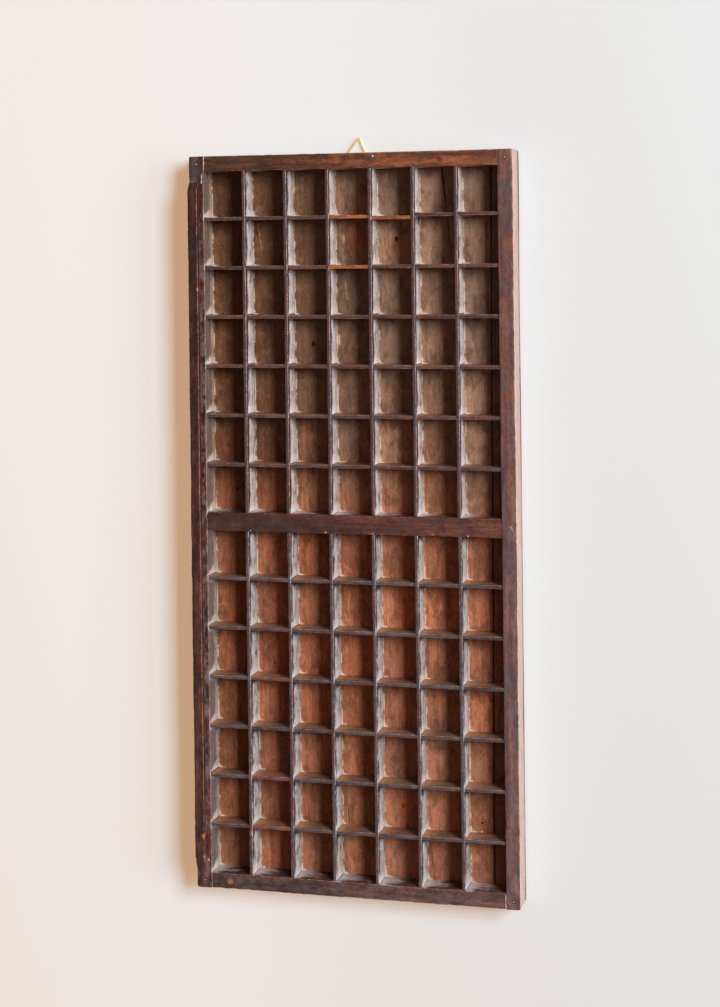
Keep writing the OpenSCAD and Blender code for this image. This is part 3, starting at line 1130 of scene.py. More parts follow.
@dataclass(frozen=True)
class WoodFinish:
    """Old stained softwood: its tones at the two ends of a span, its worn places, grime and dust.

    The span lies along the grain, or the way that fade gives. The methods that a kind of wood overrides
    take and return what they do here.
    """

    name: str
    grain: Grain
    span: Pair
    tone: tuple[str, str]
    contrast: float = 0.5
    broad: float = 7.0
    flecks: float = 0.7
    worn: str = "8a4526"
    worn_share: float = 1.0
    raw: str = "a8623a"
    grime: str = "2b2730"
    grime_share: float = 0.5
    dust: str = "a89a90"
    dust_share: float = 0.25
    roughness: float = 0.5
    shine: float = 0.25
    polish: float = 0.12
    fibre: float = 0.6
    marks: Sequence[Blot | Stroke] = ()
    fade: Grain | None = None

    def _along(self, size: float, across: float, up: float | None = None) -> Triple:
        """The size of a lump, long along the grain."""
        tall = across if up is None else up
        return (size, across, tall) if self.grain is Grain.ALONG_X else (across, size, tall)

    def tones(self, paint: Paint) -> tuple[Field, Field, Field]:
        """The stain's colour, and the fine and the coarse pattern of the grain.

        Args:
            paint: The finish's shader tree.

        Returns:
            The three fields.
        """
        figure = paint.lumps(self._along(120, self.broad, 8), 4.0, 0.62, 0.5)
        fibre = paint.lumps(self._along(14, 0.55), 3.0, 0.65)
        x, y, _ = paint.split(paint.place)
        where = x if (self.fade or self.grain) is Grain.ALONG_X else y
        drift = paint.lumps(self._along(70, 30), 2.0)
        place = (where - self.span[0]) / (self.span[1] - self.span[0]) + (drift - 0.5) * 0.9
        tone = paint.mix(paint.ramp(place, 0.15, 0.85), *self.tone)
        middle = 0.375 + 0.25 * self.fibre
        share = paint.ramp(figure * 0.75 + fibre * self.fibre * 0.5, middle - 0.17, middle + 0.17)
        fleck = paint.ramp(paint.lumps(self._along(4.5, 2.0, 3.0), 4.0, 0.75), 0.34, 0.66)
        streaks = share * self.contrast * 2.0 + (1 - self.contrast)
        shade = streaks * (fleck * self.flecks + 1 - self.flecks / 2)
        return paint.scaled(tone, shade), fibre, figure

    def weathered(self, paint: Paint, colour: Field, fibre: Field) -> Field:
        """Adds the grime in the hollows and the bare wood along the arrises.

        Args:
            paint: The finish's shader tree.
            colour: The colour so far.
            fibre: The fine pattern of the grain.

        Returns:
            The new colour.
        """
        blotch = paint.lumps(self._along(30, 13), 6.0, 0.7, 0.4)
        dirty = paint.ramp(blotch, 0.45, 0.6) * self.grime_share
        colour = paint.mix(dirty, colour, self.grime)
        edge = paint.fall(paint.mark(Mark.ARRIS), 0.15, 0.95)
        patch = paint.lumps((24, 24, 24), 4.0, 0.6)
        rubbed = paint.mark(Mark.WEAR) * 0.8 + edge * (patch * 1.5 - 0.2) + (fibre - 0.5) * 0.7
        bare = paint.ramp(rubbed, 0.25, 0.85) * self.worn_share
        colour = paint.mix(bare, colour, self.worn)
        knocked = paint.ramp(paint.mark(Mark.CHIP) + (patch - 0.5) * 0.8 + (fibre - 0.5) * 0.8, 0.3, 0.55)
        return paint.mix(knocked, colour, self.raw)

    def dusted(self, paint: Paint, colour: Field) -> tuple[Field, Field]:
        """Adds loose dust and pale specks.

        Args:
            paint: The finish's shader tree.
            colour: The colour so far.

        Returns:
            The new colour, and how much dust there is.
        """
        cloud = paint.lumps((13, 13, 13), 5.0, 0.7)
        film = paint.ramp(cloud, 0.46, 0.78) * self.dust_share
        grit = paint.lumps((1.5, 1.5, 1.5), 2.0, 0.5)
        spots = paint.ramp(grit * 0.8 + cloud * 0.3, 0.70, 0.76) * min(1.0, self.dust_share * 2.2)
        amount = paint.most(film, spots)
        return paint.mix(amount, colour, self.dust), amount

    def marked(self, paint: Paint, colour: Field) -> Field:
        """Adds the marks that stand in one place.

        Args:
            paint: The finish's shader tree.
            colour: The colour so far.

        Returns:
            The new colour.
        """
        if not self.marks:
            return colour
        ragged = paint.lumps((3, 3, 3), 3.0, 0.6)
        for mark in self.marks:
            if isinstance(mark, Blot):
                around = paint.near(mark.spot, mark.reach, ragged, mark.stretch, mark.firm)
                colour = paint.mix(around * mark.strength, colour, mark.colour)
                if mark.core:
                    inner = paint.near(mark.spot, mark.reach * 0.55, ragged, mark.stretch)
                    colour = paint.mix(inner, colour, mark.core)
            else:
                line = paint.stroke(mark.start, mark.end, mark.width, ragged)
                colour = paint.mix(line * mark.strength, colour, mark.colour)
        return colour

    def material(self) -> Material:
        """Writes the whole finish.

        Returns:
            The material.
        """
        paint = Paint(self.name)
        colour, fibre, figure = self.tones(paint)
        colour = self.weathered(paint, colour, fibre)
        colour, loose = self.dusted(paint, colour)
        colour = self.marked(paint, colour)
        edge = paint.fall(paint.mark(Mark.ARRIS), 0.2, 1.2)
        roughness = self.roughness + (fibre - 0.5) * 0.25 + loose * 0.35 - edge * self.polish
        height = fibre * 0.6 + figure * 0.4 + loose * 0.3
        return paint.finish(colour, roughness, height, 0.35, shine=self.shine)


@dataclass(frozen=True)
class WallFinish(WoodFinish):
    """Wood that stands between the boxes: its sides have caught dust, most of it near the floor."""

    grid: BoxGrid | None = None
    bare: tuple[str, str] = ("b4602c", "8a4c38")
    side_dust: float = 0.97
    outer_dust: float = 0.2
    scallop: bool = False
    evenness: float = 0.0
    head_dust: tuple[str, str] = ("b9a498", "e0dadc")
    foot_dust: tuple[str, str] = ("aa9f99", "cfc9c8")
    # The painted sheen: blue-grey patches on the up-facing tops that stand for the window's reflection, and
    # its share at the head and at the foot.
    painted_sheen: str = "5d5c68"
    painted_sheen_share: Pair = (0.15, 0.5)
    # Pale specks along the worn arrises: dust and bare wood, and partly a painted highlight of the lit
    # arrises.
    specks: float = 0.8
    speck: str = "dccabb"

    def dusted(self, paint: Paint, colour: Field) -> tuple[Field, Field]:
        """Adds dust in streaks to the sides, pale specks to the arrises, partly a painted highlight, and a
        painted sheen to the tops.
        """
        place = self.grid.find(paint)
        face_x, face_y, face_z = paint.split(paint.mark(Mark.FACING))
        x, y, z = paint.split(paint.place)
        streak = paint.lumps(self._along(24, 3.2, 2.2), 4.0, 0.7, 0.4)
        cloud = paint.lumps(self._along(14, 8, 8), 5.0, 0.66, 0.3)
        high = paint.ramp(z, 25.0, 33.5)
        half = paint.ramp(x, *HALVES)
        if self.grain is Grain.ALONG_X:
            towards = paint.ramp(paint.maths("ABSOLUTE", face_y), 0.4, 0.9)
            within = paint.maths("LESS_THAN", paint.maths("ABSOLUTE", y), self.grid.half_width / MM)
            corner = paint.fall(place.from_high_x, 0.0, 13.0) * within
            bare = paint.fall(place.from_low_x, 0.0, 10.0) * within * paint.blend(half, 0.2, 1.0)
        else:
            towards = paint.ramp(paint.maths("ABSOLUTE", face_x), 0.4, 0.9)
            within = paint.maths("LESS_THAN", paint.maths("ABSOLUTE", x), self.grid.half_length / MM)
            corner = paint.fall(place.from_low_y, 0.0, 13.0) * within
            # On these pieces the dust thins toward each box's +Y side, which darkens the faces where the next
            # divider's shadow falls: real dust with painted shade.
            bare = paint.ramp(place.from_low_y, 4.0, 40.0) * within
        reach = (streak * 0.8 + cloud * 0.9 - 0.85) * paint.blend(half, 1.1, 1.5) + 0.88
        reach = reach + corner * 0.25 - bare * 0.4 - high * within * paint.blend(half, 0.6, 0.35)
        open_top = 1.0
        if self.scallop:
            low = paint.fall(z, 4.0, 34.0)
            lip = paint.maths("GREATER_THAN", z, self.grid.top / MM + 0.3)
            ends = paint.most(corner, bare)
            reach = streak * 0.5 + cloud * 0.5 + low * 0.75 + ends * 0.6 - 0.32
            towards = towards * (1.0 - lip * 0.75)
            open_top = 1.0 - lip * 0.85
        cover = paint.ramp(reach, 0.57, 0.93) * (1.0 - self.evenness) + self.evenness
        sides = cover * towards * self.side_dust * (within * (1 - self.outer_dust) + self.outer_dust)
        pale = paint.ramp(z, 5.0, 24.0) * 0.2 + 0.2 + corner * 0.4 + (streak - 0.5) * 1.2
        pale = paint.ramp(pale, 0.0, 1.0)
        head, foot = paint.mix(pale, *self.head_dust), paint.mix(pale, *self.foot_dust)
        grain = paint.ramp(paint.lumps(self._along(2.6, 1.4, 1.4), 3.0, 0.7), 0.3, 0.7)
        dust = paint.scaled(paint.mix(half, head, foot), grain * 0.3 + 0.85)
        colour = paint.mix(sides, colour, dust)
        # Painted sheen: blue-grey patches on the up-facing tops, more of them toward the foot, in place of
        # the window's reflection.
        share = paint.blend(paint.ramp(x, -160.0, 120.0), *self.painted_sheen_share)
        painted_sheen = paint.ramp(face_z, 0.5, 0.9) * paint.ramp(cloud, 0.42, 0.66) * share * open_top
        colour = paint.mix(painted_sheen, colour, self.painted_sheen)
        edge = paint.fall(paint.mark(Mark.ARRIS), 0.1, 1.1)
        grit = paint.lumps(self._along(3.2, 1.6, 1.6), 3.0, 0.6)
        dark = paint.fall(grit, 0.36, 0.44) * towards * (0.6 - 0.6 * self.evenness)
        colour = paint.mix(dark, colour, self.grime)
        # Pale specks on the arrises: dust and bare wood, and partly a painted highlight where the window
        # lights them.
        specks = paint.ramp(grit + cloud * 0.35, 0.70, 0.76) * edge * self.specks
        return paint.mix(specks, colour, self.speck), sides


@dataclass(frozen=True)
class PartitionFinish(WallFinish):
    """The short partitions, a few of which have lost their stain and show bare wood."""

    def tones(self, paint: Paint) -> tuple[Field, Field, Field]:
        """The stain's colour, or bare wood where the piece's own number asks for it."""
        colour, fibre, figure = super().tones(paint)
        tint = paint.mark(Mark.TINT)
        x, _, _ = paint.split(paint.place)
        bare = paint.mix(paint.ramp(x, *HALVES), *self.bare)
        bare = paint.scaled(bare, paint.ramp(fibre, 0.3, 0.7) * 0.6 + 0.7)
        rubbed = paint.ramp(tint * 1.6 + (figure - 0.5) * 1.1, 0.35, 1.1)
        return paint.mix(rubbed, colour, bare), fibre, figure


@dataclass(frozen=True)
class FloorFinish(WoodFinish):
    """The floor boards: bare, dirty wood that differs a little from box to box."""

    grid: BoxGrid | None = None
    cool: str = "5d4a3c"
    under: tuple[str, str] = ("69503f", "8c6c56")
    edge_dust: float = 0.8
    # Multipliers of the floor's colour at the head-left, foot-left, head-right and foot-right; the dark
    # head-left one is partly the wood's tone and partly painted shade for the dimmer head half.
    tints: tuple[Colour, Colour, Colour, Colour] = (
        (0.53, 0.42, 0.30), (0.97, 0.87, 0.80), (1.04, 1.10, 1.10), (1.16, 1.12, 1.12))

    def tones(self, paint: Paint) -> tuple[Field, Field, Field]:
        """The wood's colour, changed a little from box to box, with painted sheen toward the foot and painted
        shade at the head-left, and plain on the underside.
        """
        colour, fibre, figure = super().tones(paint)
        place = self.grid.find(paint)
        pick = paint.node("ShaderNodeTexWhiteNoise", {"noise_dimensions": "3D"}, {"Vector": place.key})
        random = paint.node("ShaderNodeSeparateColor", {}, {0: pick.other("Color")})
        x, y, _ = paint.split(paint.place)
        foot, back = paint.ramp(x, -60.0, 20.0), paint.ramp(y, -130.0, 60.0)
        # Some boxes are greyed at random toward the cool colour; the extra greying toward the foot end is a
        # painted sheen.
        dull = paint.ramp(random, 0.25, 1.0) * paint.blend(foot, 0.55, 0.25)
        colour = paint.mix(dull + paint.ramp(x, 140.0, 340.0) * 0.2, colour, self.cool)
        shade = paint.blend(random.other("Green"), 0.82, 1.14)
        # Partly painted shade: the head-left floors are darkened for the dimmer light there.
        left = paint.mix(foot, self.tints[0], self.tints[1])
        right = paint.mix(foot, self.tints[2], self.tints[3])
        colour = paint.scaled(paint.mix(1.0, colour, paint.mix(back, left, right), "MULTIPLY"), shade)
        streaks = paint.ramp(fibre * 0.6 + figure * 0.4, 0.3, 0.7)
        plain = paint.mix(streaks, *self.under)
        return paint.mix(self._inside(paint), plain, colour), fibre, figure

    @staticmethod
    def _inside(paint: Paint) -> Field:
        """1 on the faces that look up into the boxes, 0 on the underside."""
        _, _, face = paint.split(paint.mark(Mark.FACING))
        return paint.ramp(face, -0.4, 0.4)

    def weathered(self, paint: Paint, colour: Field, fibre: Field) -> Field:
        """Adds the grime and the wear, less of them on the underside."""
        return paint.mix(self._inside(paint) * 0.7 + 0.3, colour, super().weathered(paint, colour, fibre))

    def dusted(self, paint: Paint, colour: Field) -> tuple[Field, Field]:
        """Adds dust and clumps along the walls of each box, most of all in its corners."""
        place = self.grid.find(paint)
        cloud = paint.lumps((11, 9, 9), 5.0, 0.66, 0.3)
        clump = paint.lumps((2.2, 2.2, 2.2), 3.0, 0.6)
        near_y = paint.fall(place.from_low_y, 0.2, 2.6)
        near_x = paint.fall(place.from_high_x, 0.2, 2.2)
        edge = paint.most(near_y, near_x * 0.9)
        corner = paint.fall(place.from_low_y + place.from_high_x, 2.0, 11.0)
        wide = paint.fall(place.from_low_y, 0.0, 11.0)
        film = paint.ramp(edge * 0.12 + corner * 0.16 + wide * 0.14 + cloud * 0.8, 0.52, 1.0) * self.edge_dust
        lumps = paint.ramp(edge * 0.15 + corner * 0.2 + clump * 0.85, 0.69, 0.73) * self.edge_dust
        line = paint.fall(place.from_low_y, 0.6, 1.6) * paint.ramp(cloud + corner * 0.1, 0.44, 0.56)
        film = paint.most(film, line * self.edge_dust)
        veil = paint.ramp(cloud, 0.45, 0.8) * self.dust_share
        grit = paint.ramp(paint.lumps((1.1, 1.1, 1.1), 1.0), 0.715, 0.75) * 0.7
        _, _, face = paint.split(paint.mark(Mark.FACING))
        amount = paint.most(film, lumps, veil, grit) * paint.ramp(face, 0.4, 0.8)
        return paint.mix(amount, colour, self.dust), amount


@dataclass(frozen=True)
class MetalFinish:
    """A metal, with a dull film on it."""

    name: str
    clean: str
    dull: str
    roughness: Pair
    lump: float = 3.0

    def material(self) -> Material:
        """Writes the finish.

        Returns:
            The material.
        """
        paint = Paint(self.name)
        film = paint.lumps((self.lump,) * 3, 4.0, 0.65)
        fine = paint.lumps((0.4,) * 3, 2.0)
        share = paint.ramp(film, 0.38, 0.66)
        colour = paint.mix(share, self.clean, self.dull)
        roughness = paint.blend(share, *self.roughness)
        return paint.finish(colour, roughness, fine + film, 0.06, metallic=1.0)


@dataclass
class Shop:
    """What all the sub-assemblies share: the sizes, the joints, the grid of boxes and the trees."""

    sizes: Frame
    joinery: Joinery
    grid: BoxGrid
    weathering: NodeTree
    rows: NodeTree
    pins: NodeTree
    wire: NodeTree
    counts: dict[str, int] = field(default_factory=dict)

    @classmethod
    def open(cls) -> "Shop":
        """Reads the frame and makes the trees.

        Returns:
            The shop.
        """
        sizes = Frame.read()
        weathering = weathering_recipe()
        return cls(sizes, Joinery.read(sizes), BoxGrid.read(sizes), weathering, row_recipe(weathering),
                   driven_recipe(), wire_recipe())

    def saw(self, strip: Strip, finish: Material, slot: Slot, kinds: set[Joint],
            looks: dict[str, float] | None = None, extra: Callable[[Cutter], None] | None = None
            ) -> Object:
        """Makes one worn wooden piece and puts it in place of its node.

        Args:
            strip: The piece as it was sawn.
            finish: Its material.
            slot: Its material slot.
            kinds: The kinds of joint that are cut into it.
            looks: Values for the weathering.
            extra: Adds what else is cut into it.

        Returns:
            The piece.
        """
        ob = link(strip.mesh(), f"worn_{strip.node}")
        seed = float(len(self.counts) + 1)
        grown(ob, self.weathering, {"Seed": seed, "Finish": finish, **(looks or {})})
        cutter = self.joinery.cutter(strip.node, kinds)
        if extra:
            extra(cutter)
        cutter.cut(ob)
        creased(ob.data)
        return self.deliver(ob, "case", slot, strip.node)

    def deliver(self, ob: Object, body: str, slot: Slot, *nodes: str) -> Object:
        """Hands a finished piece over to its body, in place of its nodes.

        Args:
            ob: The piece.
            body: The body that it rides on.
            slot: Its material slot; not used.
            nodes: The nodes that it stands in for.

        Returns:
            The piece.
        """
        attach(ob, body)
        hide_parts(*nodes)
        self.counts[ob.name] = len(ob.data.polygons)
        log.info("%s: %d faces, on %s", ob.name, len(ob.data.polygons), body)
        return ob

    def scatter(self, name: str, spots: Sequence[Triple], pin: Mesh, finish: Material,
                lean: float) -> Object:
        """Sets one pin at each spot.

        Args:
            name: The name of the piece.
            spots: Where the pins' feet are.
            pin: The pin, standing on the origin.
            finish: Its material.
            lean: How far a pin may lean, in radians.

        Returns:
            The pins as one object.
        """
        points = bpy.data.meshes.new(name)
        points.from_pydata(spots, [], [])
        ob, helper = link(points, name), link(pin, f"{name}_pattern")
        grown(ob, self.pins, {"Pin": helper, "Lean": lean, "Finish": finish})
        drop(helper)
        creased(ob.data)
        return ob


def rounding(x: float, sizes: Frame, radius: float) -> float:
    """How far the outline is drawn in near the ends of the case, where its corners are rounded.

    Args:
        x: The place along the case.
        sizes: The frame's sizes.
        radius: The corners' radius.

    Returns:
        The distance, which is 0 away from the ends.
    """
    inside = min(x - sizes.head_x, sizes.foot_x - x)
    if inside >= radius:
        return 0.0
    return radius - math.sqrt(max(radius ** 2 - (radius - inside) ** 2, 0.0))


@dataclass
class Assembly:
    """Pieces of the case that are made together, from what the shop holds."""

    shop: Shop


@dataclass
class LongRails(Assembly):
    """The front rail with its raised lip, and the back rail, which narrows toward the foot."""

    lip_w: float = 11.5 * MM
    head_block: float = 29 * MM
    head_ramp: float = 9.5 * MM
    foot_block: float = 21.5 * MM
    foot_ramp: float = 14.5 * MM
    corner_r: float = 2 * MM
    arris: float = 1.1 * MM
    bevel_len: float = 24 * MM
    bevel: float = 2.6 * MM

    def build(self) -> None:
        """Makes both rails."""
        self.front()
        self.back()

    def lip_top(self, x: float, sizes: Frame) -> float:
        """The height of the front rail's outer part at a place along it.

        Args:
            x: The place.
            sizes: The frame's sizes.

        Returns:
            The height.
        """
        up = min((x - sizes.head_x - self.head_block) / self.head_ramp,
                 (sizes.foot_x - x - self.foot_block) / self.foot_ramp, 1.0)
        return sizes.rail_z + max(up, 0.0) * (sizes.lip_z - sizes.rail_z)

    def front(self) -> None:
        """Makes the front rail."""
        sizes = self.shop.sizes
        lip_y = sizes.front_y + self.lip_w
        creases = [sizes.head_x + self.head_block, sizes.head_x + self.head_block + self.head_ramp,
                   sizes.foot_x - self.foot_block - self.foot_ramp, sizes.foot_x - self.foot_block]

        def section(x: float) -> list[Corner]:
            """The rail's section: the ledge along the boxes, and the lip outside it."""
            outer, top = sizes.front_y + rounding(x, sizes, self.corner_r), self.lip_top(x, sizes)
            return [Corner(outer, sizes.floor_z, splits=4),
                    Corner(sizes.inner_front_y, sizes.floor_z, splits=12),
                    Corner(sizes.inner_front_y, sizes.rail_z, self.arris, True, 3),
                    Corner(lip_y, sizes.rail_z, 0.3 * MM, splits=3),
                    Corner(lip_y, top, self.arris, True, 5),
                    Corner(outer, top, self.arris, True, 12)]

        chips = [Chip((sizes.head_x + 150 * MM, lip_y, sizes.lip_z), 3 * MM, 0.9 * MM),
                 Chip((sizes.foot_x - 60 * MM, lip_y, sizes.lip_z), 4 * MM, 1.0 * MM),
                 Chip((sizes.foot_x - 36 * MM, lip_y, sizes.lip_z - 0.2 * MM), 3 * MM, 1.2 * MM)]
        strip = Strip("front_rail", Grain.ALONG_X, sizes.head_x, sizes.foot_x, section, keep=creases,
                      chips=chips)
        white = Blot((382, -171.9, 34.5), 1.6, "c9bdb2", stretch=(1, 0.6, 1))
        # A painted sheen: a soft grey patch on the rail's head block in place of its reflection.
        painted_sheen_patch = Blot((-396, -179, 34.5), 16.0, "54504e", None, (1.2, 0.8, 1), 0.6, 0.0)
        # A painted highlight: a blue-white line along the ledge's arris by the head block.
        painted_gleam = Stroke((-392, -170.6, 34.5), (-383, -170.8, 34.5), 1.3, "b4bcc8")
        finish = WallFinish(
            "front_rail_stain", Grain.ALONG_X, (-413, 413), ("3f2015", "503027"), 0.6,
            worn="a5502f", grime="1d1314", grime_share=0.7, roughness=0.42, shine=0.14, side_dust=0.9,
            scallop=True, evenness=0.25, grid=self.shop.grid, head_dust=("a98b72", "e4d8cc"),
            foot_dust=("a1978f", "d3ccc6"), painted_sheen="7d6a66", painted_sheen_share=(0.7, 0.9), specks=0.3,
            marks=[painted_sheen_patch, painted_gleam, white])
        self.shop.saw(strip, finish.material(), Slot.RAIL, {Joint.BLADE, Joint.TENON, Joint.PEG, Joint.NAIL},
                      {"Nibble": 0.7 * MM})

    def back(self) -> None:
        """Makes the back rail, with the worn bevel at its head end."""
        sizes = self.shop.sizes
        head_y = edge_of("back_rail", sizes.head_x + self.corner_r, 1)
        foot_y = edge_of("back_rail", sizes.foot_x - self.corner_r, 1)

        def section(x: float) -> list[Corner]:
            """The rail's section at a place along it."""
            share = (x - sizes.head_x) / (sizes.foot_x - sizes.head_x)
            outer = head_y + (foot_y - head_y) * share - rounding(x, sizes, self.corner_r)
            bevel = self.bevel * max(1 - (x - sizes.head_x) / self.bevel_len, 0.0) ** 0.7
            return [Corner(outer, sizes.floor_z, splits=12),
                    Corner(outer, sizes.rail_z, self.arris + bevel, True, 8),
                    Corner(sizes.inner_back_y, sizes.rail_z, self.arris, True, 12),
                    Corner(sizes.inner_back_y, sizes.floor_z, splits=6)]

        strip = Strip("back_rail", Grain.ALONG_X, sizes.head_x, sizes.foot_x, section)
        scratch = Stroke((-3, 178.6, 34.5), (2, 181, 34.5), 0.9, "b7a59a", 0.8)
        finish = WallFinish(
            "back_rail_stain", Grain.ALONG_X, (-413, 413), ("6f4235", "735046"), 0.45,
            worn="a9583e", worn_share=0.7, grime="40393d", grime_share=0.65, roughness=0.4, shine=0.3,
            head_dust=("c09a8d", "dfc4ba"), foot_dust=("c69f90", "e4cabd"), side_dust=0.9, outer_dust=0.97,
            evenness=0.7, grid=self.shop.grid, painted_sheen="6c6468", painted_sheen_share=(0.4, 0.4), specks=0.3,
            marks=[scratch])
        self.shop.saw(strip, finish.material(), Slot.RAIL, {Joint.BLADE, Joint.TENON, Joint.PEG, Joint.NAIL},
                      {"Nibble": 0.8 * MM})


@dataclass
class CrossRails(Assembly):
    """The two end rails and the bar between the halves, tenoned into the long rails."""

    arris: float = 1.1 * MM

    def build(self) -> None:
        """Makes the three rails."""
        self.rail("head_end_rail", self.head_finish(), {Joint.TONGUE, Joint.NAIL, Joint.PEG},
                  [Chip((-408.6 * MM, 29.2 * MM, 34.5 * MM), 1.6 * MM, 0.5 * MM)])
        self.rail("foot_end_rail", self.foot_finish(), {Joint.TONGUE, Joint.NAIL, Joint.PEG},
                  [Chip((403.9 * MM, -146.0 * MM, 34.5 * MM), 5 * MM, 1.3 * MM)])
        self.rail("centre_bar", self.bar_finish(), {Joint.TONGUE, Joint.NAIL},
                  [Chip((8.8 * MM, 92 * MM, 34.2 * MM), 3 * MM, 0.9 * MM),
                   Chip((8.9 * MM, -30 * MM, 34.2 * MM), 2.4 * MM, 0.8 * MM)])

    def rail(self, node: str, finish: WoodFinish, kinds: set[Joint], chips: list[Chip]) -> None:
        """Makes one rail with a tenon at each end.

        Args:
            node: Its node.
            finish: Its finish.
            kinds: The kinds of joint that are cut into it.
            chips: Where it is knocked in.
        """
        low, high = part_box(node)
        sizes = self.shop.sizes
        middle = (low.x + high.x) / 2
        section = [Corner(low.x, sizes.floor_z, splits=5), Corner(high.x, sizes.floor_z, splits=11),
                   Corner(high.x, sizes.rail_z, self.arris, True, 7),
                   Corner(low.x, sizes.rail_z, self.arris, True, 11)]
        around = ((-TENON_HALF, TENON_Z[0]), (TENON_HALF, TENON_Z[0]), (TENON_HALF, TENON_Z[1]),
                  (-TENON_HALF, TENON_Z[1]))
        tenon = [Corner(middle + x, z, splits=c.splits) for (x, z), c in zip(around, section)]
        strip = Strip(node, Grain.ALONG_Y, sizes.inner_front_y, sizes.inner_back_y, lambda y: section,
                      end=tenon, end_reach=sizes.inner_front_y - low.y, chips=chips)

        def pocket(cutter: Cutter) -> None:
            """Cuts the hole for the hanger's screw."""
            if node == "head_end_rail":
                Hanger.screw_hole(cutter)

        self.shop.saw(strip, finish.material(), Slot.RAIL, kinds, {"Nibble": 0.9 * MM}, pocket)

    def head_finish(self) -> WoodFinish:
        """The head rail: olive brown at the front, redder at the back, with scratches.

        Returns:
            The finish.
        """
        marks = [Blot((-408.6, 29.2, 34.5), 1.5, "d6c9bb"),
                 Stroke((-411.3, 54, 34.5), (-411.0, 62, 34.5), 0.5, "a07a62", 0.7),
                 Stroke((-410.6, 80, 34.5), (-410.4, 88, 34.5), 0.5, "a07a62", 0.7),
                 Stroke((-397.2, 154, 34.3), (-397.4, 167, 34.3), 1.2, "c08a66"),
                 Stroke((-413, -168.1, 34.5), (-396, -168.3, 34.5), 1.2, "dcd2c6"),
                 Blot((-404, 158, 34.5), 34.0, "55342a", None, (1, 1, 1), 0.6, 0.0),
                 Stroke((-413, 168.2, 34.5), (-396, 168.3, 34.5), 0.6, "9a8478", 0.7)]
        return WallFinish("head_rail_stain", Grain.ALONG_Y, (-130, 90), ("54321d", "864c31"),
                          0.62, worn="b8602b", grime="2a1d17", grime_share=0.72, roughness=0.42, shine=0.22,
                          painted_sheen="5c4a40", painted_sheen_share=(0.25, 0.25), specks=0.3, marks=marks,
                          grid=self.shop.grid)

    def foot_finish(self) -> WoodFinish:
        """The foot rail: nearly black at the front, with a fresh knock, and red brown at the back.

        Returns:
            The finish.
        """
        marks = [Blot((403.9, -146.0, 34.4), 2.8, "8a4a30", "c0805c", (0.8, 1.7, 1), 0.9),
                 Stroke((395, -168.2, 34.5), (413, -168.0, 34.5), 0.7, "9a8a7e"),
                 Stroke((395, 168.2, 34.5), (413, 168.2, 34.5), 1.0, "cdbdb2", 0.9)]
        return WallFinish("foot_rail_stain", Grain.ALONG_Y, (-168, 168), ("48322a", "6f4b40"),
                          0.55, worn="a9522a", grime="26201f", grime_share=0.6, roughness=0.42, shine=0.25,
                          painted_sheen="6a5f61", painted_sheen_share=(0.5, 0.5), specks=0.5, marks=marks,
                          grid=self.shop.grid)

    def bar_finish(self) -> WoodFinish:
        """The bar: grey brown at the front and orange red at the back.

        Returns:
            The finish.
        """
        marks = [Blot((8.6, y, 34.3), 1.0, "c4b6ab") for y in (-118, -30, 24, 92, 131)]
        return WallFinish("bar_stain", Grain.ALONG_Y, (-168, 168), ("3f2318", "61372b"),
                          0.55, worn="a8532f", grime="2b2222", grime_share=0.55, roughness=0.42, shine=0.25,
                          painted_sheen="6a5550", painted_sheen_share=(0.2, 0.2), specks=0.3, marks=marks,
                          grid=self.shop.grid)


@dataclass
class Dividers(Assembly):
    """The twelve long dividers, six to a half."""

    arris: float = 0.9 * MM
    step: float = 1.8 * MM

    def build(self) -> None:
        """Makes all twelve."""
        finish = WallFinish(
            "divider_stain", Grain.ALONG_X, (-260, 260), ("44271c", "463532"), 0.6,
            worn="9a553c", worn_share=0.9, grime="2a2a35", grime_share=0.75, roughness=0.4, shine=0.5,
            polish=0.18, specks=0.6, grid=self.shop.grid).material()
        for half in self.shop.sizes.half_x:
            for number in range(1, BOXES):
                self.divider(half, number, finish)

    def divider(self, half: str, number: int, finish: Material) -> None:
        """Makes one divider with its two tongues.

        Args:
            half: Its half of the case.
            number: Its number in that half.
            finish: Its material.
        """
        node = f"{half}_divider_{number}"
        low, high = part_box(node)
        start, end = self.shop.sizes.half_x[half]
        floor_z = self.shop.sizes.floor_z
        section = [Corner(low.y, floor_z, splits=1), Corner(high.y, floor_z, splits=11),
                   Corner(high.y, high.z, self.arris, True, 1), Corner(low.y, high.z, self.arris, True, 11)]
        tongue = [Corner(c.across, min(c.up, HOUSING_Z), splits=c.splits) for c in section]
        chips = []
        if node == "foot_divider_1":
            chips.append(Chip((348.2 * MM, high.y, high.z), 3.5 * MM, 1.4 * MM))
        strip = Strip(node, Grain.ALONG_X, start, end, lambda x: section, self.step,
                      end=tongue, end_reach=start - low.x, chips=chips)
        self.shop.saw(strip, finish, Slot.DIVIDER, {Joint.BLADE, Joint.NAIL}, {"Nibble": 0.55 * MM})


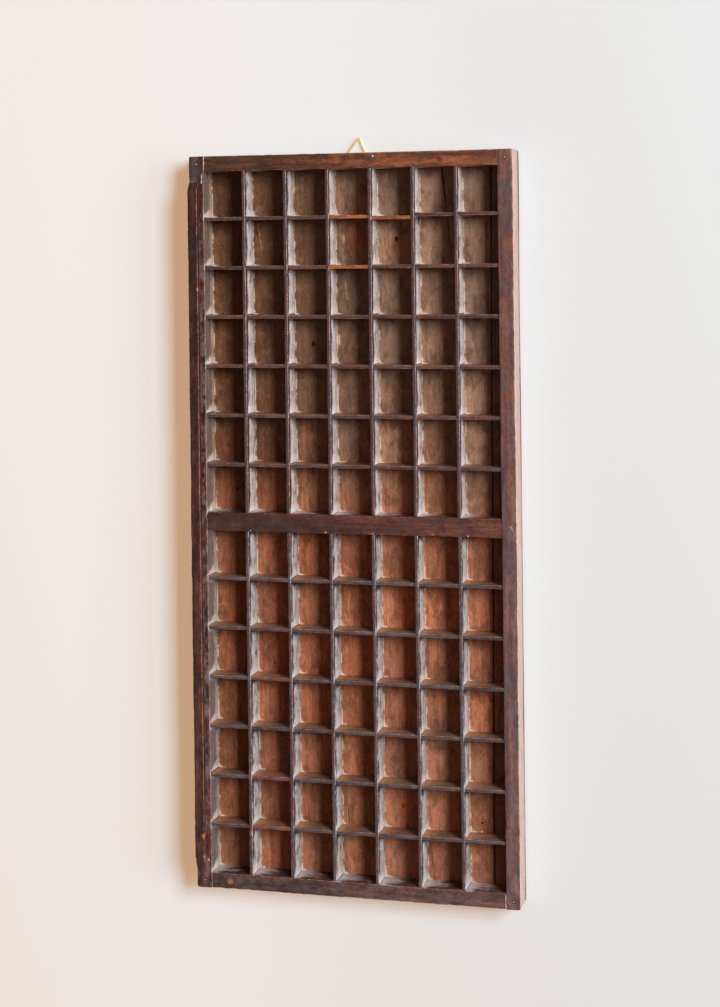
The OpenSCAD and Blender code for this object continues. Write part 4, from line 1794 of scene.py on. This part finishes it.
@dataclass
class Partitions(Assembly):
    """The 84 short partitions, seven to a row."""

    arris: float = 0.9 * MM
    bare: dict[tuple[str, int, int], float] = field(default_factory=lambda: {
        ("head", 1, 4): 1.0, ("head", 1, 5): 0.55, ("head", 2, 4): 0.9, ("foot", 3, 2): 0.5,
        ("foot", 5, 2): 0.6, ("foot", 6, 2): 0.6, ("head", 2, 3): 0.25, ("head", 1, 3): 0.2})

    def build(self) -> None:
        """Makes one object for each row."""
        finish = PartitionFinish(
            "partition_stain", Grain.ALONG_Y, (-260, 260), ("57382c", "4b4140"), 0.6,
            worn="9a553c", worn_share=0.5, grime="38333a", grime_share=0.65, shine=0.25, specks=0.4,
            head_dust=("86583f", "b59077"), foot_dust=("9a6844", "c08c68"), painted_sheen_share=(0.15, 0.65),
            evenness=0.4, fade=Grain.ALONG_X, grid=self.shop.grid).material()
        for node, boxes in self.shop.joinery.blades.items():
            self.row(node, boxes, finish)

    def row(self, node: str, boxes: Sequence[Box], finish: Material) -> None:
        """Makes the seven blades of one row.

        Args:
            node: The row's node.
            boxes: The blades' boxes.
            finish: Their material.
        """
        half, _, row = node.split("_")
        low, high = boxes[0]
        wide, long = high.x - low.x, high.y - low.y
        section = [Corner(-wide / 2, low.z, splits=1), Corner(wide / 2, low.z, splits=11),
                   Corner(wide / 2, high.z, self.arris, True, 1),
                   Corner(-wide / 2, high.z, self.arris, True, 11)]
        blade = Strip(f"{node}_blade", Grain.ALONG_Y, -long / 2, long / 2, lambda y: section)
        points = bpy.data.meshes.new(node)
        points.from_pydata([((a.x + b.x) / 2, (a.y + b.y) / 2, 0) for a, b in boxes], [], [])
        tints = [self.bare.get((half, int(row), column), 0.0) for column in range(1, BOXES + 1)]
        points.attributes.new(Mark.TINT.value, "FLOAT", "POINT").data.foreach_set("value", tints)
        ob, helper = link(points, f"worn_{node}"), link(blade.mesh(), "blade_pattern")
        grown(ob, self.shop.rows, {"Blade": helper, "Seed": float(row) + (10 if half == "foot" else 0),
                                   "Finish": finish})
        drop(helper)
        creased(ob.data)
        self.shop.deliver(ob, "case", Slot.PARTITION, node)


@dataclass
class Floor(Assembly):
    """The two floor boards, with the slanting joint between them, four cracks and two hollow knots."""

    corner_r: float = 2 * MM
    step: float = 3 * MM
    ease: float = 0.4 * MM
    dent: float = 0.1 * MM
    crack_z: Pair = (0.8 * MM, 6.5 * MM)
    knot_top: float = 7 * MM
    foot_knot: Pair = (315.2, 47.4)
    head_knot: Pair = (-316.8, 48.0)
    cracks: Sequence[tuple[Triple, Triple]] = (
        ((-395.5 * MM, 100.9 * MM, 2.2 * MM), (-288.0 * MM, 111.2 * MM, 0.5 * MM)),
        ((356.0 * MM, 78.6 * MM, 0.3 * MM), (396.0 * MM, 82.7 * MM, 1.0 * MM)),
        ((325.0 * MM, -16.2 * MM, 0.3 * MM), (341.0 * MM, -15.2 * MM, 0.7 * MM)),
        ((-338.0 * MM, -60.5 * MM, 0.3 * MM), (-286.0 * MM, -59.2 * MM, 0.5 * MM)))

    def build(self) -> None:
        """Makes both boards."""
        low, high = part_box("floor_board_wide")
        wide = self.board("floor_board_wide", lambda x: low.y, self.edge("floor_board_wide", 1))
        self.shop.saw(wide, self.wide_finish(), Slot.FLOOR, {Joint.NAIL}, {"Dent": self.dent},
                      self.worn_through)
        narrow = self.board("floor_board_narrow", self.edge("floor_board_narrow", -1),
                            self.outer("floor_board_narrow"))
        finish = FloorFinish(
            "narrow_floor_wood", Grain.ALONG_X, (-413, 413), ("7a5541", "8a5840"), 0.26, 4.5,
            0.34, dust="d3c0b0", grid=self.shop.grid, cool="5e4436", dust_share=0.12, grime="4c2c1d",
            roughness=0.65, shine=0.15)
        self.shop.saw(narrow, finish.material(), Slot.FLOOR, {Joint.NAIL}, {"Dent": self.dent})

    def edge(self, node: str, side: int) -> Edge:
        """The straight edge of a board along the joint, from its places at both ends.

        Args:
            node: The board.
            side: -1 for its front edge, 1 for its back edge.

        Returns:
            The edge's Y at each X.
        """
        low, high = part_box(node)
        start, end = edge_of(node, low.x, side), edge_of(node, high.x, side)
        return lambda x: start + (end - start) * (x - low.x) / (high.x - low.x)

    def outer(self, node: str) -> Edge:
        """The outer edge of the narrow board, which narrows with the back rail above it.

        Args:
            node: The board.

        Returns:
            The edge's Y at each X.
        """
        sizes = self.shop.sizes
        start = edge_of(node, sizes.head_x + self.corner_r, 1)
        end = edge_of(node, sizes.foot_x - self.corner_r, 1)
        return lambda x: start + (end - start) * (x - sizes.head_x) / (sizes.foot_x - sizes.head_x)

    def board(self, node: str, front: Edge, back: Edge) -> Strip:
        """A board between two edges, rounded at the corners of the case.

        Args:
            node: The board.
            front: Its front edge.
            back: Its back edge.

        Returns:
            The board as it was sawn.
        """
        low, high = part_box(node)
        splits = max(6, round((high.y - low.y) / self.step))

        def section(x: float) -> list[Corner]:
            """The board's section at a place along it."""
            drawn = rounding(x, self.shop.sizes, self.corner_r)
            y0 = front(x) + (drawn if node.endswith("wide") else 0.0)
            y1 = back(x) - (drawn if node.endswith("narrow") else 0.0)
            return [Corner(y0, low.z, self.ease, splits=splits), Corner(y1, low.z, self.ease, splits=2),
                    Corner(y1, high.z, self.ease, splits=splits), Corner(y0, high.z, self.ease, splits=2)]

        return Strip(node, Grain.ALONG_X, low.x, high.x, section, self.step)

    def worn_through(self, cutter: Cutter) -> None:
        """Cuts the cracks, the hollow knots and what the hanger needs out of the wide board.

        Args:
            cutter: The board's cutter.
        """
        for number, (start, end) in enumerate(self.cracks):
            cutter.slit(self.wandering(start, end, number), *self.crack_z)
        for (x, y), bottom, narrow, wide, sides in ((self.foot_knot, 2.5 * MM, 1.6 * MM, 2.7 * MM, 9),
                                                    (self.head_knot, 3.2 * MM, 0.9 * MM, 2.4 * MM, 5)):
            cutter.hole(x * MM, y * MM, bottom, self.knot_top, narrow, wide, sides)
        Hanger.pocket(cutter)
        Hanger.screw_hole(cutter)

    @staticmethod
    def wandering(start: Triple, end: Triple, seed: int, pieces: int = 14) -> list[Triple]:
        """The points of a crack, which strays a little from its straight line.

        Args:
            start: Its X, Y and width at one end.
            end: The same at the other end.
            seed: The seed of its bends.
            pieces: How many straight pieces it has.

        Returns:
            The points.
        """
        rng = np.random.default_rng(seed)
        line = []
        for k in range(pieces + 1):
            t = k / pieces
            here = [a + (b - a) * t for a, b in zip(start, end)]
            here[1] += rng.uniform(-0.25, 0.25) * MM
            here[2] *= rng.uniform(0.7, 1.25)
            line.append(tuple(here))
        return line

    def wide_finish(self) -> Material:
        """The finish of the wide board, with its knots and stains.

        Returns:
            The material.
        """
        z = self.shop.sizes.floor_z / MM
        marks = [Blot((*self.foot_knot, z), 5.2, "c07232", "190c07", (1.1, 0.95, 1), firm=0.75),
                 Blot((*self.head_knot, z), 5.4, "b05a20", "1b0d08", (1.2, 0.9, 1), firm=0.4),
                 Blot((-199.6, -49.8, z), 5.0, "6b3c20", "1f100a", (1.3, 1, 1), 0.8, 0.2),
                 Blot((-34.2, -142.8, z), 2.0, "160d0a"),
                 Blot((224, 88, z), 17.0, "3c3531", None, (0.8, 1.2, 1), 0.6, 0.0),
                 Blot((249, 91, z), 15.0, "453d3a", None, (0.7, 1.3, 1), 0.7, 0.0),
                 Blot((-317.9, -13, z), 3.0, "cda57e", None, (2.4, 0.6, 1), 0.8, 0.3),
                 Blot((-204.1, -19.7, z), 3.2, "cdb293", None, (2.6, 0.6, 1), 0.9, 0.3),
                 Blot((-294.6, 40.3, z), 3.4, "5f564c", None, (1, 1, 1), 0.7, 0.3),
                 Blot((-320, 2, z), 26.0, "a3552a", None, (1.0, 0.9, 1), 0.5, 0.0),
                 Blot((-303, 50, z), 26.0, "a56436", None, (0.8, 0.9, 1), 0.3, 0.0),
                 Blot((329.1, 137.4, z), 1.5, "20100a"),
                 Blot((339, 136.8, z), 1.6, "c9b8a4"),
                 Stroke((320.7, -15.7, z), (338.6, -14.7, z), 0.9, "2c130b", 0.9),
                 Stroke((319.7, -17.0, z), (338.6, -16.0, z), 0.8, "c08a60", 0.7),
                 Stroke((-267, -11.5, z), (-256, -10.8, z), 0.9, "c49468", 0.8),
                 Stroke((-256, -10.8, z), (-249, -8.3, z), 0.9, "c49468", 0.8),
                 Stroke((-334.8, -113.7, z), (-306.3, -109.3, z), 0.8, "c08a5c", 0.8),
                 Stroke((-327, -118.5, z), (-300, -109.3, z), 0.6, "8a5c3c", 0.6),
                 Stroke((275.3, -109.8, z), (265.6, -99, z), 1.0, "b9854f", 0.6),
                 Stroke((265.6, -99, z), (260.3, -84.7, z), 0.8, "b9854f", 0.6)]
        return FloorFinish(
            "wide_floor_wood", Grain.ALONG_X, (-260, 120), ("94705a", "b06e4d"), 0.26, 4.5,
            0.34, grime="4a2d1e", dust="e6d8c6", dust_share=0.1, roughness=0.68, shine=0.15, cool="7d6353",
            grid=self.shop.grid, marks=marks).material()


@dataclass
class Fixings(Assembly):
    """The pegs in the corners, and the nails and brads in the underside."""

    def build(self) -> None:
        """Makes all the pegs, nails and brads."""
        self.pins("rail_nails", NAIL_SHANK, 14)
        self.pins("divider_brads", BRAD_SHANK, 10)
        self.pegs()

    def pins(self, node: str, share: float, sides: int) -> None:
        """Makes the nails or the brads, with rounded heads and pointed shanks.

        Args:
            node: Their node.
            share: The shank's radius, as a share of the head's.
            sides: Points in each ring.
        """
        boxes = solids_of(node)
        low, high = boxes[0]
        radius, top = (high.x - low.x) / 2, high.z
        seat, shank = HEAD_SEAT_Z - 0.02 * MM, radius * share
        profile = [(0, low.z), (radius * 0.55, low.z + 0.04 * MM), (radius * 0.9, low.z + 0.2 * MM),
                   (radius, low.z + 0.5 * MM), (radius, seat), (shank, seat), (shank, top - 4 * MM), (0, top)]
        name = {"rail_nails": "iron_nails", "divider_brads": "iron_brads"}[node]
        spots = [((a.x + b.x) / 2, (a.y + b.y) / 2, 0) for a, b in boxes]
        finish = MetalFinish(f"{name}_finish", "6f6a66", "4a3a30", (0.45, 0.8)).material()
        ob = self.shop.scatter(name, spots, turned(name, profile, sides), finish, math.radians(0.2))
        self.shop.deliver(ob, "case", Slot.IRON, node)

    def pegs(self) -> None:
        """Makes the four pegs, cut flush with the rails."""
        boxes = solids_of("corner_pegs")
        low, high = boxes[0]
        r = (high.x - low.x) / 2
        profile = [(0, low.z), (r * 0.8, low.z), (r, low.z + 1 * MM), (r, high.z - 0.5 * MM),
                   (r * 0.93, high.z - 0.15 * MM), (r * 0.7, high.z - 0.02 * MM), (0, high.z)]
        spots = [((a.x + b.x) / 2, (a.y + b.y) / 2, 0) for a, b in boxes]
        rims = [Blot((x / MM, y / MM, high.z / MM), 2.4, "2b1c14", "a8926c", firm=0.8) for x, y, _ in spots]
        finish = WoodFinish("peg_end_grain", Grain.ALONG_X, (-600, 600), ("66543f", "6c5440"),
                            dust_share=0.2, marks=rims).material()
        ob = self.shop.scatter("worn_pegs", spots, turned("worn_pegs", profile, 20), finish, 0.0)
        self.shop.deliver(ob, "case", Slot.PEG, "corner_pegs")


@dataclass
class Hanger(Assembly):
    """The brass hanger, let into the underside at the head end: strap, screw and wire triangle."""

    side: float = 26 * MM
    bend: float = 1.5 * MM
    wire: float = 1.8 * MM
    sheet: float = 0.8 * MM
    strap_w: float = 10 * MM
    strap_len: float = 12 * MM
    screw_reach: float = 6.8 * MM
    tail_r: float = 3 * MM
    hinge_z: float = 2.22 * MM
    seat_z: float = 2.4 * MM

    SPOT = (-402.7 * MM, 2.0 * MM)
    TURN = math.radians(-7)
    POCKET = ((-20.6 * MM, -14.9 * MM, -0.5 * MM), (6.2 * MM, 14.9 * MM, 4 * MM))
    BORE = 1.35 * MM
    SHANK = 1.3 * MM
    HEAD = 2.65 * MM

    @classmethod
    def place(cls) -> Matrix:
        """The matrix that takes what is drawn about the screw to its place."""
        return Matrix.Translation((*cls.SPOT, 0)) @ Matrix.Rotation(cls.TURN, 4, "Z")

    @classmethod
    def pocket(cls, cutter: Cutter) -> None:
        """Adds the pocket in the underside."""
        cutter.box(*cls.POCKET, turn=cls.place())

    @classmethod
    def screw_hole(cls, cutter: Cutter) -> None:
        """Adds the hole for the screw."""
        cutter.hole(*cls.SPOT, -PAST, 15.5 * MM, cls.BORE, sides=16)

    def build(self) -> None:
        """Makes the three pieces."""
        finish = MetalFinish("old_brass", "f0dcae", "d3b987", (0.42, 0.6)).material()
        for ob, body, node in ((self.ring(finish), "hanger_ring", "hanger_ring"),
                               (self.strap(finish), "case", "hanger_strap"),
                               (self.screw(finish), "case", "hanger_screw")):
            ob.data.transform(self.place())
            creased(ob.data)
            self.shop.deliver(ob, body, Slot.BRASS, node)

    def ring(self, finish: Material) -> Object:
        """The wire triangle, flat, with its straight side in the strap's loop.

        Args:
            finish: The brass.

        Returns:
            The ring.
        """
        seed = bpy.data.meshes.new("wire_triangle")
        seed.from_pydata([(0, 0, 0)], [], [])
        ob = grown(link(seed, "brass_wire_triangle"), self.shop.wire, {
            "Side": self.side, "Bend": self.bend, "Wire": self.wire, "Finish": finish})
        inner = self.side / (2 * math.sqrt(3))
        ob.data.transform(Matrix.Translation((-self.screw_reach - inner, 0, self.hinge_z)))
        work = bmesh.new()
        work.from_mesh(ob.data)
        bmesh.ops.recalc_face_normals(work, faces=work.faces)
        work.to_mesh(ob.data)
        work.free()
        return ob

    def strap(self, finish: Material) -> Object:
        """The strap: a sheet folded double, with a loop round the wire and a rounded tail.

        Args:
            finish: The brass.

        Returns:
            The strap.
        """
        bore = self.wire / 2 + 0.08 * MM
        radius = bore + self.sheet / 2
        lower, upper = self.seat_z + self.sheet / 2, self.hinge_z + radius
        hinge, tail = -self.screw_reach, -self.screw_reach + self.strap_len
        flat = [tail - self.strap_len * 0.8 * (k / 9) ** 1.6 for k in range(10)]
        path = [(x, lower) for x in flat]
        bends = [math.radians(-25 - 245 * k / 26) for k in range(27)]
        path += [(hinge + radius * math.cos(a), self.hinge_z + radius * math.sin(a)) for a in bends]
        path += [(x, upper) for x in reversed(flat)]
        rings, edge = [], 0.12 * MM
        for at, (x, z) in enumerate(path):
            back, on = path[max(at - 1, 0)], path[min(at + 1, len(path) - 1)]
            way = Vector((on[0] - back[0], on[1] - back[1])).normalized()
            out = Vector((-way.y, way.x)) * (self.sheet / 2 - 0.01 * MM)
            short = max(self.tail_r - (tail - x), 0.0)
            half = self.strap_w / 2 - self.tail_r + math.sqrt(self.tail_r ** 2 - short ** 2)
            corners = ((1, half - edge), (1, edge - half), (0, -half), (-1, edge - half), (-1, half - edge),
                       (0, half))
            rings.append([(x + out.x * side, wide, z + out.y * side) for side, wide in corners])
        ob = link(loft("brass_strap", rings), "brass_strap")
        ob.data.materials.append(finish)
        cutter = Cutter()
        cutter.hole(0, 0, 1 * MM, 6 * MM, self.BORE, sides=20)
        cutter.cut(ob)
        return ob

    def screw(self, finish: Material) -> Object:
        """The screw, with a domed and slotted head.

        Args:
            finish: The brass.

        Returns:
            The screw.
        """
        top = self.seat_z - 0.02 * MM
        profile = [(0, 1.1 * MM), (1.2 * MM, 1.12 * MM), (2.0 * MM, 1.22 * MM), (2.2 * MM, 1.4 * MM),
                   (self.HEAD, top - 0.1 * MM), (self.HEAD, top), (self.SHANK, top),
                   (self.SHANK, 12.9 * MM), (0.9 * MM, 14.4 * MM), (0, 15.3 * MM)]
        ob = link(turned("brass_screw", profile, 28), "brass_screw")
        ob.data.materials.append(finish)
        cutter = Cutter()
        slot = Matrix.Rotation(math.radians(34), 4, "Z")
        cutter.box((-4 * MM, -0.4 * MM, 0), (4 * MM, 0.4 * MM, 1.65 * MM), slot)
        cutter.cut(ob)
        return ob


@dataclass(frozen=True)
class Window:
    """A large, soft light: the way to it, how far it is, its size and its power."""

    name: str
    way: Triple
    away: float
    size: Pair
    power: float
    colour: Colour

    def build(self) -> None:
        """Adds the light, turned towards the case."""
        data = bpy.data.lights.new(self.name, "AREA")
        data.shape, data.size, data.size_y = "RECTANGLE", *self.size
        data.energy, data.color = self.power, self.colour
        ob = bpy.data.objects.new(self.name, data)
        way = Vector(self.way).normalized()
        across = (Vector((1, 0, 0)) - way * way.x).normalized()
        turn = Matrix((across, way.cross(across), way)).transposed()
        ob.matrix_world = Matrix.Translation(way * self.away) @ turn.to_4x4()
        bpy.context.scene.collection.objects.link(ob)


@dataclass
class Studio:
    """The camera at the photograph's viewing angle, the light and the pale floor."""

    sizes: Frame
    windows: Sequence[Window] = (
        Window("window", (-0.45, 0.97, 1.0), 6.5, (2.8, 1.9), 480.0, (0.97, 0.985, 1.0)),
        Window("far_window", (-0.03, 0.90, 0.40), 6.5, (3.2, 2.2), 165.0, (0.9, 0.965, 1.03)))
    focal_px: float = 1965.2
    long_side_px: float = 1007.0
    centre_y_px: float = 245.5
    spot: Triple = (-310.0 * MM, 567.3 * MM, 2135.6 * MM)
    yaw: float = 0.2577
    roll: float = -0.0125
    sensor_mm: float = 36.0
    floor_half: float = 12.0
    floor_z: float = -0.8 * MM
    room_colour: Colour = (0.096, 0.036, 0.009)
    pale: Colour = (0.84, 0.83, 0.81)
    floor_colour: Colour = (0.37, 0.56, 0.68)
    glow_left: Colour = (0.545, 0.345, 0.215)
    glow_right: Colour = (0.41, 0.215, 0.085)
    under_inset: float = 6 * MM

    def build(self) -> None:
        """Sets everything up."""
        self.camera()
        for window in self.windows:
            window.build()
        self.room()
        self.ground()

    def camera(self) -> None:
        """Places the camera: it looks down at the case with the head end up in the picture."""
        right, up, back = Vector((0, 1, 0)), Vector((-1, 0, 0)), Vector((0, 0, 1))
        right, back = (right * math.cos(self.yaw) - back * math.sin(self.yaw),
                       back * math.cos(self.yaw) + right * math.sin(self.yaw))
        right, up = (right * math.cos(self.roll) + up * math.sin(self.roll),
                     up * math.cos(self.roll) - right * math.sin(self.roll))
        turn = Matrix((right, up, back)).transposed()
        data = bpy.data.cameras.new("camera")
        data.sensor_width = self.sensor_mm
        data.lens = self.focal_px * self.sensor_mm / self.long_side_px
        data.shift_y = (self.centre_y_px - self.long_side_px / 2) / self.long_side_px
        data.clip_start, data.clip_end = 0.05, 60
        ob = bpy.data.objects.new("camera", data)
        ob.matrix_world = Matrix.Translation(self.spot) @ turn.to_4x4()
        bpy.context.scene.collection.objects.link(ob)
        bpy.context.scene.camera = ob

    def room(self) -> None:
        """Sets the warm light of the room, with a pale background behind the floor's edge."""
        world = bpy.data.worlds.new("room")
        world.use_nodes = True
        graph = Graph(world.node_tree)
        dim = graph.node("ShaderNodeBackground", {}, {"Color": self.room_colour, "Strength": 1.0})
        pale = graph.node("ShaderNodeBackground", {}, {"Color": self.pale, "Strength": 1.0})
        both = graph.node("ShaderNodeMixShader", {}, {0: graph.seen(), 1: dim, 2: pale})
        graph.node("ShaderNodeOutputWorld", {}, {"Surface": both})
        bpy.context.scene.world = world

    def ground(self) -> None:
        """Lays the pale floor just under the case, and a plain patch where the room's light doesn't reach."""
        material = bpy.data.materials.new("pale_floor")
        material.use_nodes = True
        graph = Graph(material.node_tree)
        place = graph.node("ShaderNodeTexCoord").other("Object")
        across = graph.node("ShaderNodeSeparateXYZ", {}, {0: place}).other("Y")
        glow = graph.node("ShaderNodeMix", {"data_type": "RGBA"},
                          {0: graph.ramp(across, -0.35, 0.35), "A": self.glow_left, "B": self.glow_right})
        matt = graph.node("ShaderNodeBsdfDiffuse", {}, {"Color": self.floor_colour})
        light = graph.node("ShaderNodeEmission", {}, {"Color": glow, "Strength": graph.seen()})
        both = graph.node("ShaderNodeAddShader", {}, {0: matt, 1: light})
        graph.node("ShaderNodeOutputMaterial", {}, {"Surface": both})
        s, z = self.floor_half, self.floor_z
        self.sheet("pale_floor", (-s, -s), (s, s), z, material)
        plain = bpy.data.materials.new("floor_under_case")
        plain.use_nodes = True
        graph = Graph(plain.node_tree)
        matt = graph.node("ShaderNodeBsdfDiffuse", {}, {"Color": self.floor_colour})
        graph.node("ShaderNodeOutputMaterial", {}, {"Surface": matt})
        sizes, inset = self.sizes, self.under_inset
        self.sheet("floor_under_case", (sizes.head_x + inset, sizes.front_y + inset),
                   (sizes.foot_x - inset, -sizes.front_y - 2 * inset), z + 0.1 * MM, plain)
        bpy.context.scene.view_settings.view_transform = "Standard"

    @staticmethod
    def sheet(name: str, low: Pair, high: Pair, z: float, material: Material) -> None:
        """Lays one flat sheet of floor that isn't part of the object.

        Args:
            name: Its name.
            low: Its low corner.
            high: Its high corner.
            z: Its height.
            material: Its material.
        """
        mesh = bpy.data.meshes.new(name)
        corners = [(low[0], low[1], z), (high[0], low[1], z), (high[0], high[1], z), (low[0], high[1], z)]
        mesh.from_pydata(corners, [], [(0, 1, 2, 3)])
        mesh.materials.append(material)
        link(mesh, name)


def main() -> None:
    """Builds the case, piece by piece, and lights it."""
    logging.basicConfig(level=logging.INFO, format="%(message)s")
    shop = Shop.open()
    Studio(shop.sizes).build()
    for assembly in (Floor, LongRails, CrossRails, Dividers, Partitions, Fixings, Hanger):
        assembly(shop).build()
    log.info("%d pieces, %d faces", len(shop.counts), sum(shop.counts.values()))


if __name__ == "__main__":
    main()
